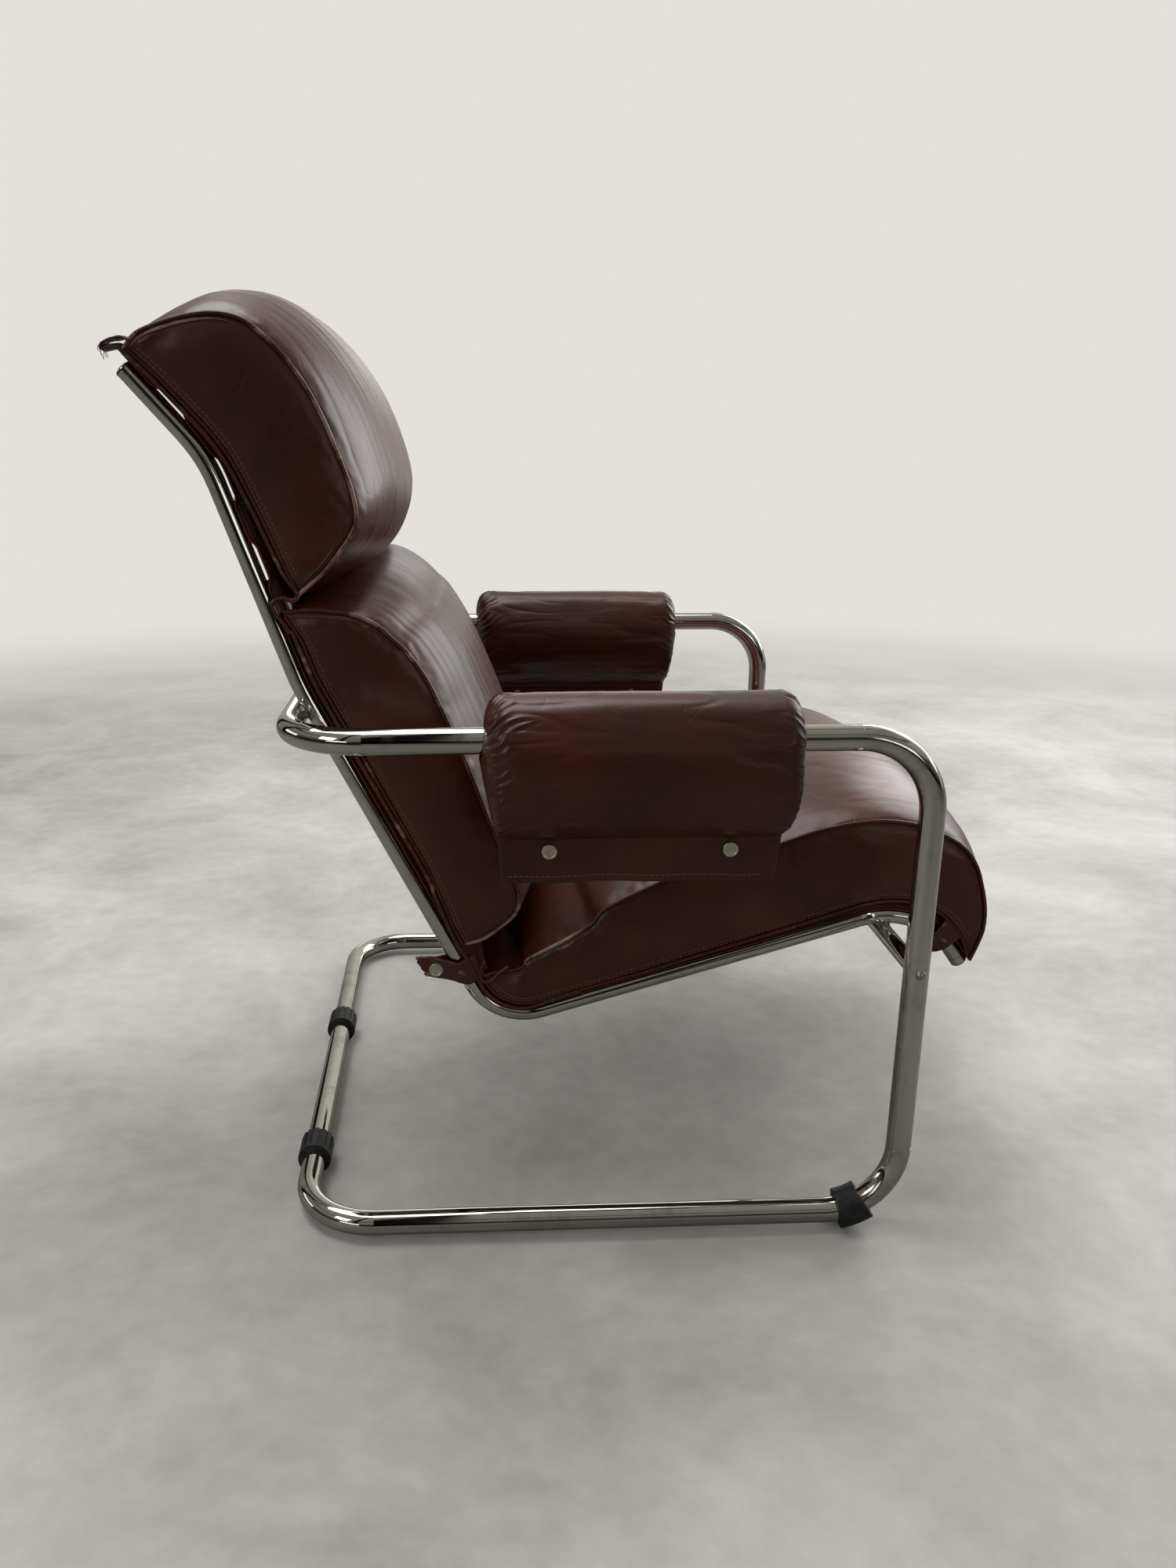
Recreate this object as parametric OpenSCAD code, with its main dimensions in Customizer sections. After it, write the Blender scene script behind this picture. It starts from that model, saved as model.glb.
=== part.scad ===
// Cantilever lounge chair: a closed loop of bent chromed tube carries two bent side
// rails, and the rails carry webbing, a leather hide and three leather cushions.
// X points to the front, Y to the sitter's left, Z up from the floor.

/* [Tube loop] */
// Outer diameter of the loop tube
tube_d = 25; // [22:0.5:28]
// Wall of the loop tube
tube_wall = 2; // [1.5:0.25:2.5]
// Distance between the two arms, centre to centre
loop_width = 714; // [680:1:760]
// Distance from the rear floor bar to the uprights, centre to centre
floor_reach = 617; // [590:1:650]
// Height of the arms above the floor runners, centre to centre
arm_rise = 511; // [490:1:540]
// Centreline radius of every bend in the loop
bend_r = 75; // [65:1:85]
// Distance of the floor bar's joint from the middle of the chair
joint_offset = 30; // [15:1:32]
// Length of the sleeves that join the loop's halves inside the tube
spigot_len = 70; // [50:1:90]

/* [Side rails] */
// Outer diameter of the side rails and of the front crossbar
rail_d = 18; // [16:0.5:20]
// Wall of the side rails and of the front crossbar
rail_wall = 1.5; // [1:0.25:2]
// Distance between the two side rails, centre to centre
rail_gauge = 514; // [490:1:530]
// Height of the front crossbar above the floor runners
front_bar_rise = 273; // [260:1:285]
// Corner-to-corner length of the rail behind the head
head_leg = 104; // [95:1:120]
// Corner-to-corner length of the rail behind the shoulders
upper_leg = 230; // [210:1:250]
// Corner-to-corner length of the rail behind the back
lower_leg = 415; // [395:1:430]
// Corner-to-corner length of the rail under the seat
seat_leg = 470; // [455:1:490]
// Corner-to-corner length of the rail's drooping nose
nose_leg = 87; // [80:1:95]
// Slope angle of the head leg, in degrees
head_slope = 48.8; // [44:0.1:54]
// Slope angle of the upper back leg, in degrees
upper_slope = 70.6; // [67:0.1:74]
// Slope angle of the lower back leg, in degrees
lower_slope = 62.8; // [60:0.1:65]
// Slope angle of the seat leg, in degrees, rising to the front
seat_slope = 16.3; // [14:0.1:18]
// Slope angle of the nose leg, in degrees, falling to the front
nose_slope = 54.4; // [50:0.1:58]
// Bend radius below the head leg
head_bend_r = 140; // [120:1:160]
// Bend radius in the middle of the back
back_bend_r = 240; // [200:1:280]
// Bend radius where back and seat meet
seat_bend_r = 62; // [56:1:68]
// Bend radius over the front crossbar
nose_bend_r = 92; // [86:1:98]
// Length of the plug that closes a rail's end
plug_len = 11; // [8:0.5:14]

/* [Floor rings] */
// Outer diameter of the rubber rings on the rear floor bar
ring_d = 36.5; // [34:0.5:40]
// Length of the rubber rings on the rear floor bar
ring_len = 35; // [30:1:40]
// Place of the right ring, to the right of the middle
right_ring_y = 224; // [150:1:240]
// Place of the left ring, to the left of the middle
left_ring_y = 79; // [76:1:240]
// Number of ribs round a ring
ring_ribs = 14; // [10:1:18]
// Angle along the front bend where its ring starts, in degrees
glide_from = 12; // [8:0.5:16]
// Angle along the front bend that its ring covers, in degrees
glide_sweep = 22; // [16:0.5:26]

/* [Webbing and hide] */
// Height of the black clips that carry the webbing on a rail
clip_h = 6; // [4:0.5:8]
// Width of a clip across the chair
clip_w = 5; // [3.5:0.5:6]
// Width of a webbing strap
web_w = 36; // [30:1:44]
// Thickness of a webbing strap
web_t = 2.5; // [1.5:0.25:3]
// Distance between webbing straps along the rail
web_pitch = 77.5; // [70:0.5:90]
// Thickness of the leather hide under the cushions
hide_t = 2.5; // [1.5:0.25:3]
// Width of the leather straps that hold the hide to the rails
strap_w = 26; // [20:1:30]
// Thickness of the leather straps
strap_t = 2; // [1.5:0.25:2.5]

/* [Cushions] */
// Width of the cushions across the chair
cushion_w = 538; // [530:1:560]
// Thickness of the head cushion at its side seam
head_thick = 95; // [80:1:110]
// Thickness of the back cushion at its side seam
back_thick = 92; // [75:1:100]
// Thickness of the seat cushion at its side seam
seat_thick = 92; // [75:1:100]
// How far the head cushion's middle stands above its seam
head_crown = 42; // [25:1:50]
// How far the back cushion's middle stands above its seam
back_crown = 41; // [25:1:45]
// How far the seat cushion's middle stands above its seam
seat_crown = 28; // [15:1:35]
// How far the cushions' side panels are drawn in
side_draw = 8; // [4:0.5:12]

/* [Arm pads] */
// Length of an arm pad along its flap
pad_len = 262; // [240:1:280]
// Distance from the upright to the front end of the pad's flap
pad_setback = 148; // [130:1:160]
// Radius of the padded roll round the arm
pad_r = 44; // [38:0.5:50]
// Distance from the arm's axis down to the bottom of the pad's flap
pad_drop = 140; // [125:1:155]
// Height of the flat stitched flap
pad_flap_h = 44; // [35:1:50]
// Thickness of the flap
pad_flap_t = 7; // [5:0.5:9]
// Diameter of a press stud's cap
stud_d = 15; // [12:0.5:17]

/* [Hidden] */
$fn = 96;

// Clearances, shared by every fit
slip = 0.1;
soft_gap = 0.3;
overrun = 1;
seam = 0.1;
seam_lap = 0.5;

// Heights and reaches that follow from the sizes above
ring_flat = 0.5;
ring_lip_len = 6;
ring_rib_h = 1.1;
ring_groove_w = 2.4;
runner_z = ring_d / 2 - ring_flat;
arm_z = runner_z + arm_rise;
half_width = loop_width / 2;
half_gauge = rail_gauge / 2;
rail_r = rail_d / 2;
front_bar_z = runner_z + front_bar_rise;
glide_r = (runner_z + bend_r + ring_flat) / cos(glide_from) - bend_r;

// The rail's path as [straight length, bend radius, turn] steps, from its top end
function tangent(r, turn) = r * tan(abs(turn) / 2);
head_turn = head_slope - upper_slope;
back_turn = upper_slope - lower_slope;
seat_turn = lower_slope + seat_slope;
nose_turn = -seat_slope - nose_slope;
head_tan = tangent(head_bend_r, head_turn);
back_tan = tangent(back_bend_r, back_turn);
seat_tan = tangent(seat_bend_r, seat_turn);
nose_tan = tangent(nose_bend_r, nose_turn);
rail_path = [
    [head_leg - head_tan, head_bend_r, head_turn],
    [upper_leg - head_tan - back_tan, back_bend_r, back_turn],
    [lower_leg - back_tan - seat_tan, seat_bend_r, seat_turn],
    [seat_leg - seat_tan - nose_tan, nose_bend_r, nose_turn],
    [nose_leg - nose_tan, 0, 0]
];
function arc_len(step) = step[1] * abs(step[2]) * PI / 180;
function step_len(step) = step[0] + arc_len(step);
function path_start(i) = i == 0 ? 0 : path_start(i - 1) + step_len(rail_path[i - 1]);
rail_len = path_start(4) + rail_path[4][0];
function normal_of(a) = [-sin(a), cos(a)];
function centre_of(q, a, step) = q + sign(step[2]) * step[1] * normal_of(a);
function on_arc(c, a, step) = c - sign(step[2]) * step[1] * normal_of(a);

// Point and heading at distance s along the path, before the path is put in place
function raw_pose(s, p = [0, 0], a = -head_slope, i = 0) =
    let (step = rail_path[i], q = p + step[0] * [cos(a), sin(a)], c = centre_of(q, a, step))
    i == 4 || s <= step[0] ? [p + s * [cos(a), sin(a)], a]
    : s <= step_len(step) ?
        let (b = a + sign(step[2]) * (s - step[0]) / step[1] * 180 / PI) [on_arc(c, b, step), b]
    : raw_pose(s - step_len(step), on_arc(c, a + step[2], step), a + step[2], i + 1);

// The nose bend stands right over the front crossbar, one tube above it
nose_bend_s = path_start(3) + rail_path[3][0];
nose_raw = centre_of(raw_pose(nose_bend_s)[0], seat_slope, rail_path[3]);
nose_centre = [floor_reach, front_bar_z + rail_d + seam - nose_bend_r];
rail_shift = nose_centre - nose_raw;
function pose(s) = [raw_pose(s)[0] + rail_shift, raw_pose(s)[1]];
function rail_point(s, h) = pose(s)[0] + h * normal_of(pose(s)[1]);

// The rear crossbar touches the back of the rails at arm height
weld_gap = (tube_d + rail_d) / 2;
back_start = rail_point(path_start(2), 0);
crossbar_x = back_start[0] + (back_start[1] - arm_z) / tan(lower_slope) - weld_gap / sin(lower_slope);
rear_weld_s = path_start(2) + norm(rail_point(path_start(2), -weld_gap) - [crossbar_x, arm_z]);
front_weld_s = nose_bend_s + nose_bend_r * seat_slope * PI / 180;

// Layers that lie on the rail, as heights above its axis
clip_top = rail_r + clip_h;
web_top = clip_top + web_t;
rivet_head_t = 0.8;
hide_base = web_top + rivet_head_t + soft_gap;
hide_top = hide_base + hide_t;
cushion_base = hide_top + soft_gap;
hide_over = 8;

// The frame's origin is midway between the tabs behind the head and the seat's nose
tab_reach = 14;
back_reach = rail_point(-hide_over - tab_reach, hide_top)[0];
front_reach = nose_centre[0] + nose_bend_r + cushion_base;
origin_x = (back_reach + front_reach) / 2;

// Hollow round section of a tube
module ring_section(d, wall) {
    difference() {
        circle(d = d);
        circle(d = d - 2 * wall);
    }
}

// Straight stretch of loop tube from a point; it laps a little into the bends at its ends
module loop_run(from, length, turn = [0, 0, 0], first_lap = seam_lap, last_lap = seam_lap) {
    translate(from)
        rotate(turn)
            translate([0, 0, -first_lap])
                linear_extrude(first_lap + length + last_lap)
                    ring_section(tube_d, tube_wall);
}

// Quarter bend of loop tube about a centre, a seam's width larger all round
module loop_bend(centre, tip = [0, 0, 0], from = 0) {
    translate(centre)
        rotate(tip)
            rotate([0, 0, from])
                rotate_extrude(angle = 90)
                    translate([bend_r, 0])
                        ring_section(tube_d + 2 * seam, tube_wall + 2 * seam);
}

// Half of the loop on the right side; the floor bar starts at bar_start
module loop_half(bar_start) {
    to_x = [0, 90, 0];
    to_y = [-90, 0, 0];
    side = -half_width;
    inner = side + bend_r;
    upright_x = floor_reach;
    loop_run([0, inner, runner_z], bar_start - inner, to_y, last_lap = 0);
    loop_bend([bend_r, inner, runner_z], from = 180);
    loop_run([bend_r, side, runner_z], upright_x - 2 * bend_r, to_x);
    loop_bend([upright_x - bend_r, side, runner_z + bend_r], [90, 0, 0], -90);
    difference() {
        loop_run([upright_x, side, runner_z + bend_r], arm_rise - 2 * bend_r);
        translate([upright_x, side, front_bar_z])
            rotate([90, 0, 0])
                cylinder(d = bolt_d + 2 * slip, h = tube_d + 2 * overrun, center = true);
    }
    loop_bend([upright_x - bend_r, side, arm_z - bend_r], [90, 0, 0], 0);
    loop_run([crossbar_x + bend_r, side, arm_z], upright_x - bend_r - crossbar_x - bend_r, to_x);
    loop_bend([crossbar_x + bend_r, inner, arm_z], from = 180);
    loop_run([crossbar_x, inner, arm_z], -inner, to_y, last_lap = 0);
}

module frame_tube_right() {
    color("#c9c9c4")
        to_origin()
            loop_half(joint_offset);
}

module frame_tube_left() {
    color("#c9c9c4")
        to_origin()
            mirror([0, 1, 0])
                loop_half(-joint_offset);
}

// Moves the model from the rear floor bar to the frame's origin
module to_origin() {
    translate([-origin_x, 0, 0])
        children();
}

// Sleeve inside a joint of the loop
module spigot(x, y, z) {
    color("#8d8f91")
        to_origin()
            translate([x, y, z])
                rotate([90, 0, 0])
                    linear_extrude(spigot_len, center = true)
                        ring_section(tube_d - 2 * tube_wall - 2 * slip, tube_wall);
}

module floor_bar_spigot() {
    spigot(0, joint_offset, runner_z);
}

module crossbar_spigot() {
    spigot(crossbar_x, 0, arm_z);
}

// Places children on the rail's path: X along it, Z away from it towards the sitter
module on_rail(s, y, h = 0) {
    p = rail_point(s, h);
    to_origin()
        translate([p[0], y, p[1]])
            rotate([0, -pose(s)[1], 0])
                children();
}

// Sweeps the first child, a section of [height, width], along the rail's straights and
// the second along its bends. A bend's section is a seam's width larger all round and
// the straights lap into it, so that the pieces make one solid.
module along_rail(y, s_from, s_to) {
    for (i = [0 : 4]) {
        start = path_start(i);
        step = rail_path[i];
        run_from = max(s_from, i == 0 ? s_from : start - seam_lap);
        run_to = min(s_to, i == 4 ? s_to : start + step[0] + seam_lap);
        if (run_to > run_from)
            on_straight(i, y)
                translate([run_from - start, 0, 0])
                    rotate([0, 90, 0])
                        rotate([0, 0, 180])
                            linear_extrude(run_to - run_from)
                                children(0);
        if (i < 4) {
            bend_s = start + step[0];
            from_share = max(0, (s_from - bend_s) / arc_len(step));
            to_share = min(1, (s_to - bend_s) / arc_len(step));
            a = pose(bend_s)[1];
            c = centre_of(pose(bend_s)[0], a, step);
            left = step[2] > 0;
            turn_from = left ? a - 90 + step[2] * from_share : a + 90 + step[2] * to_share;
            if (to_share > from_share)
                to_origin()
                    translate([c[0], y, c[1]])
                        rotate([90, 0, 0])
                            rotate([0, 0, turn_from])
                                rotate_extrude(angle = abs(step[2]) * (to_share - from_share))
                                    translate([step[1], 0])
                                        mirror([left ? 1 : 0, 0])
                                            children(1);
        }
    }
}

// Places children at the start of the path's straight number i
module on_straight(i, y) {
    p = pose(path_start(i) + overrun)[0];
    a = pose(path_start(i) + overrun)[1];
    to_origin()
        translate([p[0] - overrun * cos(a), y, p[1] - overrun * sin(a)])
            rotate([0, -a, 0])
                children();
}

module side_rail(y) {
    color("#c9c9c4")
        along_rail(y, plug_len, rail_len - plug_len) {
            ring_section(rail_d, rail_wall);
            ring_section(rail_d + 2 * seam, rail_wall + 2 * seam);
        }
}

module side_rail_right() {
    side_rail(-half_gauge);
}

module side_rail_left() {
    side_rail(half_gauge);
}

// Plug with a shadow groove, a domed end and a stem inside the rail
plug_stem_len = 14;
plug_groove = 1.2;
plug_edge_r = 2.5;
module rail_plug() {
    stem_r = rail_r - rail_wall - slip;
    color("#bdbdb8")
        rotate([0, 90, 0])
            rotate_extrude()
                polygon([
                    [0, -plug_stem_len],
                    [stem_r, -plug_stem_len],
                    [stem_r, 0],
                    [rail_r - plug_groove, 0],
                    [rail_r - plug_groove, plug_groove],
                    [rail_r, plug_groove],
                    for (a = [0 : 15 : 90])
                        [rail_r - plug_edge_r * (1 - cos(a)), plug_len - plug_edge_r * (1 - sin(a))],
                    [0, plug_len]
                ]);
}

module rail_plug_top_right() {
    on_rail(plug_len, -half_gauge)
        mirror([1, 0, 0])
            rail_plug();
}

module rail_plug_top_left() {
    on_rail(plug_len, half_gauge)
        mirror([1, 0, 0])
            rail_plug();
}

module rail_plug_nose_right() {
    on_rail(rail_len - plug_len, -half_gauge)
        rail_plug();
}

module rail_plug_nose_left() {
    on_rail(rail_len - plug_len, half_gauge)
        rail_plug();
}

// Crossbar between the uprights, with its ends coped to their round
module front_crossbar() {
    color("#c9c9c4")
        to_origin()
            difference() {
                translate([floor_reach, 0, front_bar_z])
                    rotate([90, 0, 0])
                        linear_extrude(loop_width, center = true)
                            ring_section(rail_d, rail_wall);
                for (side = [-1, 1])
                    translate([floor_reach, side * half_width, front_bar_z])
                        cylinder(d = tube_d + slip, h = 2 * rail_d, center = true);
            }
}

// Bolt sizes
bolt_d = 6;
bolt_head_d = 10.5;
bolt_head_h = 3.4;
bolt_slot_w = 1.4;
bolt_slot_depth = 1.2;
insert_len = 26;
insert_setback = 3;
bolt_len = tube_d + insert_setback + insert_len / 2;

// Threaded inserts inside the crossbar's ends
module crossbar_inserts() {
    color("#9a9a96")
        to_origin()
            for (side = [-1, 1])
                translate([floor_reach, side * (half_width - tube_d / 2 - insert_setback), front_bar_z])
                    rotate([side * 90, 0, 0])
                        linear_extrude(insert_len)
                            difference() {
                                circle(d = rail_d - 2 * rail_wall - 2 * slip);
                                circle(d = bolt_d + 2 * slip);
                            }
}

// Domed, slotted bolts through the uprights into the inserts
module upright_bolts() {
    dome_r = (bolt_head_h * bolt_head_h + bolt_head_d * bolt_head_d / 4) / (2 * bolt_head_h);
    color("#d8d6cf")
        to_origin()
            for (side = [-1, 1])
                translate([floor_reach, side * (half_width + tube_d / 2), front_bar_z])
                    rotate([-side * 90, 0, 0])
                        difference() {
                            union() {
                                translate([0, 0, -bolt_len])
                                    cylinder(d = bolt_d, h = bolt_len + bolt_head_h / 2);
                                intersection() {
                                    cylinder(d = bolt_head_d, h = bolt_head_h);
                                    translate([0, 0, bolt_head_h - dome_r])
                                        sphere(r = dome_r);
                                }
                            }
                            translate([-bolt_head_d, -bolt_slot_w / 2, bolt_head_h - bolt_slot_depth])
                                cube([2 * bolt_head_d, bolt_slot_w, bolt_head_h]);
                        }
}

// Ring of weld between a rail and the tube of width cross_d behind it, coped to both;
// its children are the rail
weld_r = 7;
weld_root_r = 3;
module weld_ring(s, y, cross_d) {
    reach = (rail_d + cross_d) / 2;
    $fn = 288;
    on_rail(s, y)
        difference() {
            translate([0, 0, -reach])
                cylinder(r = weld_r, h = reach);
            translate([0, 0, -reach - overrun])
                cylinder(r = weld_root_r, h = reach + 2 * overrun);
            translate([0, 0, -reach])
                rotate([90, 0, 0])
                    cylinder(d = cross_d, h = 4 * weld_r, center = true);
            children();
        }
}

module weld_fillets() {
    color("#a8a8a2")
        for (y = [-half_gauge, half_gauge]) {
            weld_ring(rear_weld_s, y, tube_d)
                rotate([0, 90, 0])
                    cylinder(d = rail_d, h = 4 * weld_r, center = true);
            weld_ring(front_weld_s, y, rail_d)
                translate([0, 0, -nose_bend_r])
                    rotate([90, 0, 0])
                        rotate_extrude()
                            translate([nose_bend_r, 0])
                                circle(d = rail_d + 2 * seam);
        }
}

// Places of the webbing straps; the tight bends stay free
web_first_s = 13;
web_count = floor((rail_len - web_first_s) / web_pitch) + 1;
function web_s(i) = web_first_s + i * web_pitch;
back_end_s = path_start(2) + rail_path[2][0];
seat_start_s = path_start(3);
back_web = [for (i = [0 : web_count - 1]) if (web_s(i) + web_w / 2 < back_end_s) web_s(i)];
seat_web = [
    for (i = [0 : web_count - 1])
        if (web_s(i) - web_w / 2 > seat_start_s && web_s(i) + web_w / 2 < nose_bend_s) web_s(i)
];
rivet_d = 3;
rivet_head_d = 8;
rivet_spread = web_w / 2;
web_len = rail_gauge + clip_w + 2 * rivet_d;

// Places children at the four rivets of the strap at s
module at_web_rivets(s, h) {
    for (side = [-1, 1], end = [-1, 1])
        on_rail(s + side * rivet_spread / 2, end * half_gauge, h)
            children();
}

// Black clips on the sitter's side of a rail, one under each strap's end
module webbing_clips(y) {
    base = rail_r + 3 * seam;
    color("#141414")
        for (s = concat(back_web, seat_web))
            along_rail(y, max(0, s - web_w / 2), s + web_w / 2) {
                translate([base, -clip_w / 2])
                    square([clip_top - 2 * seam - base, clip_w]);
                translate([base - seam, -clip_w / 2 - seam])
                    square([clip_top - base, clip_w + 2 * seam]);
            }
}

module webbing_clips_right() {
    webbing_clips(-half_gauge);
}

module webbing_clips_left() {
    webbing_clips(half_gauge);
}

// Webbing straps across the rails, punched for their rivets
module webbing(places) {
    color("#1b1b1b")
        for (s = places)
            difference() {
                along_rail(0, s - web_w / 2, s + web_w / 2) {
                    translate([clip_top + seam, seam - web_len / 2])
                        square([web_t - 2 * seam, web_len - 2 * seam]);
                    translate([clip_top, -web_len / 2])
                        square([web_t, web_len]);
                }
                at_web_rivets(s, clip_top)
                    translate([0, 0, -overrun])
                        cylinder(d = rivet_d + 2 * slip, h = web_t + 2 * overrun);
            }
}

module back_webbing() {
    webbing(back_web);
}

module seat_webbing() {
    webbing(seat_web);
}

// Rivets that hold each strap to its clips
module webbing_rivets() {
    color("#3a3a3a")
        for (s = concat(back_web, seat_web))
            at_web_rivets(s, web_top) {
                translate([0, 0, -web_t])
                    cylinder(d = rivet_d, h = web_t, $fn = 24);
                cylinder(d = rivet_head_d, h = rivet_head_t, $fn = 24);
            }
}

// Ribbed rubber ring on the rear floor bar, with a plain lip and a flat worn by the floor
module floor_ring(y) {
    bore = tube_d + 2 * slip;
    color("#171717")
        to_origin()
            difference() {
                translate([0, y - ring_len / 2, runner_z])
                    rotate([-90, 0, 0])
                        union() {
                            linear_extrude(ring_lip_len)
                                difference() {
                                    circle(d = ring_d);
                                    circle(d = bore);
                                }
                            translate([0, 0, ring_lip_len])
                                linear_extrude(ring_len - ring_lip_len)
                                    difference() {
                                        circle(d = ring_d);
                                        circle(d = bore);
                                        for (i = [0 : ring_ribs - 1])
                                            rotate(i * 360 / ring_ribs)
                                                translate([ring_d / 2 - ring_rib_h, -ring_groove_w / 2])
                                                    square([ring_d, ring_groove_w]);
                                    }
                        }
                translate([-ring_d, y - ring_len, -ring_d])
                    cube([2 * ring_d, 2 * ring_len, ring_d]);
            }
}

module floor_ring_right() {
    floor_ring(-right_ring_y);
}

module floor_ring_left() {
    floor_ring(left_ring_y);
}

// Rubber ring round the front bend, cut flat where it meets the floor
module front_ring(side) {
    color("#171717")
        to_origin()
            difference() {
                translate([floor_reach - bend_r, side * half_width, runner_z + bend_r])
                    rotate([90, 0, 0])
                        rotate([0, 0, glide_from - 90])
                            rotate_extrude(angle = glide_sweep)
                                translate([bend_r, 0])
                                    difference() {
                                        circle(r = glide_r);
                                        circle(d = tube_d + 2 * seam + 2 * slip);
                                    }
                translate([floor_reach - bend_r, side * half_width - 2 * glide_r, -2 * glide_r])
                    cube([2 * bend_r, 4 * glide_r, 2 * glide_r]);
            }
}

module front_ring_right() {
    front_ring(-1);
}

module front_ring_left() {
    front_ring(1);
}

// Leather hide from the head to the nose, over the webbing and under the cushions
module leather_hide() {
    color("#3b211c")
        along_rail(0, -hide_over, rail_len) {
            translate([hide_base, -cushion_w / 2])
                square([hide_t, cushion_w]);
            translate([hide_base - seam, -cushion_w / 2 - seam])
                square([hide_t + 2 * seam, cushion_w + 2 * seam]);
        }
}

// Share of a cushion's thickness at share u of its length, for blunt or rounded ends
function blunt(u, n) = pow(max(0, 1 - pow(abs(2 * u - 1), n)), 1 / n);
function swell(v) = 1 - pow(abs(v), 3);

// Closed, crowned cushion on the hide. Rings of one outline run across the chair; drawn-in
// panels close the sides. start_n and end_n round the ends, start_share thins the start,
// which is full between the two shares in rise, and end_share thins it towards the end.
outline_steps = 28;
cross_steps = 12;
panel_high_share = 0.84;
panel_low_share = 0.14;
panel_length_share = 0.95;
chord_lift = 0.6;
module cushion(s_from, s_to, thick, crown, bulge, start_n, end_n, start_share = 1, rise = [0, 1], end_share = 1) {
    underside = cushion_base + chord_lift;
    function rising(u) = sin(90 * min(1, max(0, (u - rise[0]) / (rise[1] - rise[0]))));
    function share(u) =
        blunt(u, u < 0.5 ? start_n : end_n)
        * (start_share + (1 - start_share) * rising(u))
        * (1 - (1 - end_share) * u);
    function place(u, stretch, y, h) =
        let (p = rail_point(s_from + u * (s_to - s_from) + stretch, h))
        [p[0] - origin_x, y, p[1]];
    function ring_point(u, v, top) =
        let (
            k = top ? share(u) : 0,
            stretch = bulge * (2 * u - 1) * pow(2 * u - 1, 2) * min(1, 2 * k) * swell(v)
        )
        place(u, stretch, v * cushion_w / 2, underside + k * (thick + k * crown * swell(v)));
    function panel_point(u, side, top) =
        place(
            0.5 + (u - 0.5) * panel_length_share, 0, side * (cushion_w / 2 - side_draw),
            underside + soft_gap + share(u) * thick * (top ? panel_high_share : panel_low_share)
        );
    n = outline_steps;
    us = [for (i = [0 : n]) (1 - cos(180 * i / n)) / 2];
    ends = [for (i = [0 : 2 * n - 1]) i <= n ? [us[i], true] : [us[2 * n - i], false]];
    vs = [for (j = [0 : cross_steps]) sin(90 * (2 * j / cross_steps - 1))];
    rings = [
        [for (e = ends) panel_point(e[0], -1, e[1])],
        for (v = vs) [for (e = ends) ring_point(e[0], v, e[1])],
        [for (e = ends) panel_point(e[0], 1, e[1])]
    ];
    size = 2 * n;
    last = (len(rings) - 1) * size;
    skin = [
        for (j = [0 : len(rings) - 2], i = [0 : size - 1])
            let (k = (i + 1) % size, a = j * size, b = a + size)
            each [[a + i, b + i, b + k], [a + i, b + k, a + k]]
    ];
    closing = [
        for (i = [0 : n - 1])
            let (k = (size - i) % size, m = size - i - 1)
            each concat(
                i == 0 ? [] : [[i, m, k], [last + i, last + k, last + m]],
                i == n - 1 ? [] : [[i, i + 1, m], [last + i, last + m, last + i + 1]]
            )
    ];
    color("#4a2a24")
        polyhedron([for (r = rings) each r], concat(skin, closing), convexity = 4);
}

// Where each cushion starts and ends along the rail
cushion_joint_share = 0.663;
cushion_joint_half = 8;
cushion_joint_s = path_start(1) + rail_path[1][0] * cushion_joint_share;
head_to = cushion_joint_s - cushion_joint_half;
back_from = cushion_joint_s + cushion_joint_half;
back_setback = 45.5;
back_to = back_end_s - back_setback;
seat_setback = 3.5;
seat_from = back_end_s - seat_setback;
seat_tuck = 4;
head_bulge = 20;
back_bulge = 10;
seat_bulge = 5;

module head_cushion() {
    cushion(-hide_over, head_to, head_thick, head_crown, head_bulge, 3, 2.6);
}

module back_cushion() {
    cushion(back_from, back_to, back_thick, back_crown, back_bulge, 2.5, 4.5, end_share = 0.88);
}

module seat_cushion() {
    cushion(
        seat_from, rail_len - seat_tuck, seat_thick, seat_crown, seat_bulge, 4, 2.5,
        start_share = 0.36, rise = [0.155, 0.45]
    );
}

// Press stud along Z: a flat cap above, a shank through the leather, a disc behind it
stud_cap_h = 2.6;
stud_rim_r = 1.2;
stud_shank_d = 4;
stud_back_d = 10;
stud_back_h = 1;
module stud(grip) {
    color("#cfc6ae")
        rotate_extrude()
            polygon([
                [0, -grip - stud_back_h],
                [stud_back_d / 2, -grip - stud_back_h],
                [stud_back_d / 2, -grip],
                [stud_shank_d / 2, -grip],
                [stud_shank_d / 2, 0],
                [stud_d / 2, 0],
                for (a = [0 : 30 : 90])
                    [stud_d / 2 - stud_rim_r * (1 - cos(a)), stud_cap_h - stud_rim_r * (1 - sin(a))],
                [stud_d / 2 - 2 * stud_rim_r, stud_cap_h - stud_rim_r / 2],
                [0, stud_cap_h - stud_rim_r / 2]
            ]);
}

// Section of [height, width] of a leather strap round a rail: both legs hang from the
// hide and close behind the rail in a studded tail
strap_fit_r = rail_r + seam + soft_gap;
tail_t = 2 * strap_t;
stud_share = 0.62;
module strap_section(tail) {
    outer_r = strap_fit_r + strap_t;
    difference() {
        union() {
            circle(r = outer_r);
            translate([0, -outer_r])
                square([hide_base - seam, 2 * outer_r]);
            translate([-strap_fit_r - tail, -tail_t / 2])
                square([tail, tail_t]);
        }
        circle(r = strap_fit_r);
        translate([0, -strap_fit_r])
            square([hide_base, 2 * strap_fit_r]);
    }
}

// Place of a tail's stud, with its cap facing outwards
module at_tail_stud(s, y, tail) {
    on_rail(s, y + sign(y) * tail_t / 2, -strap_fit_r - tail * stud_share)
        rotate([-sign(y) * 90, 0, 0])
            children();
}

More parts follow.
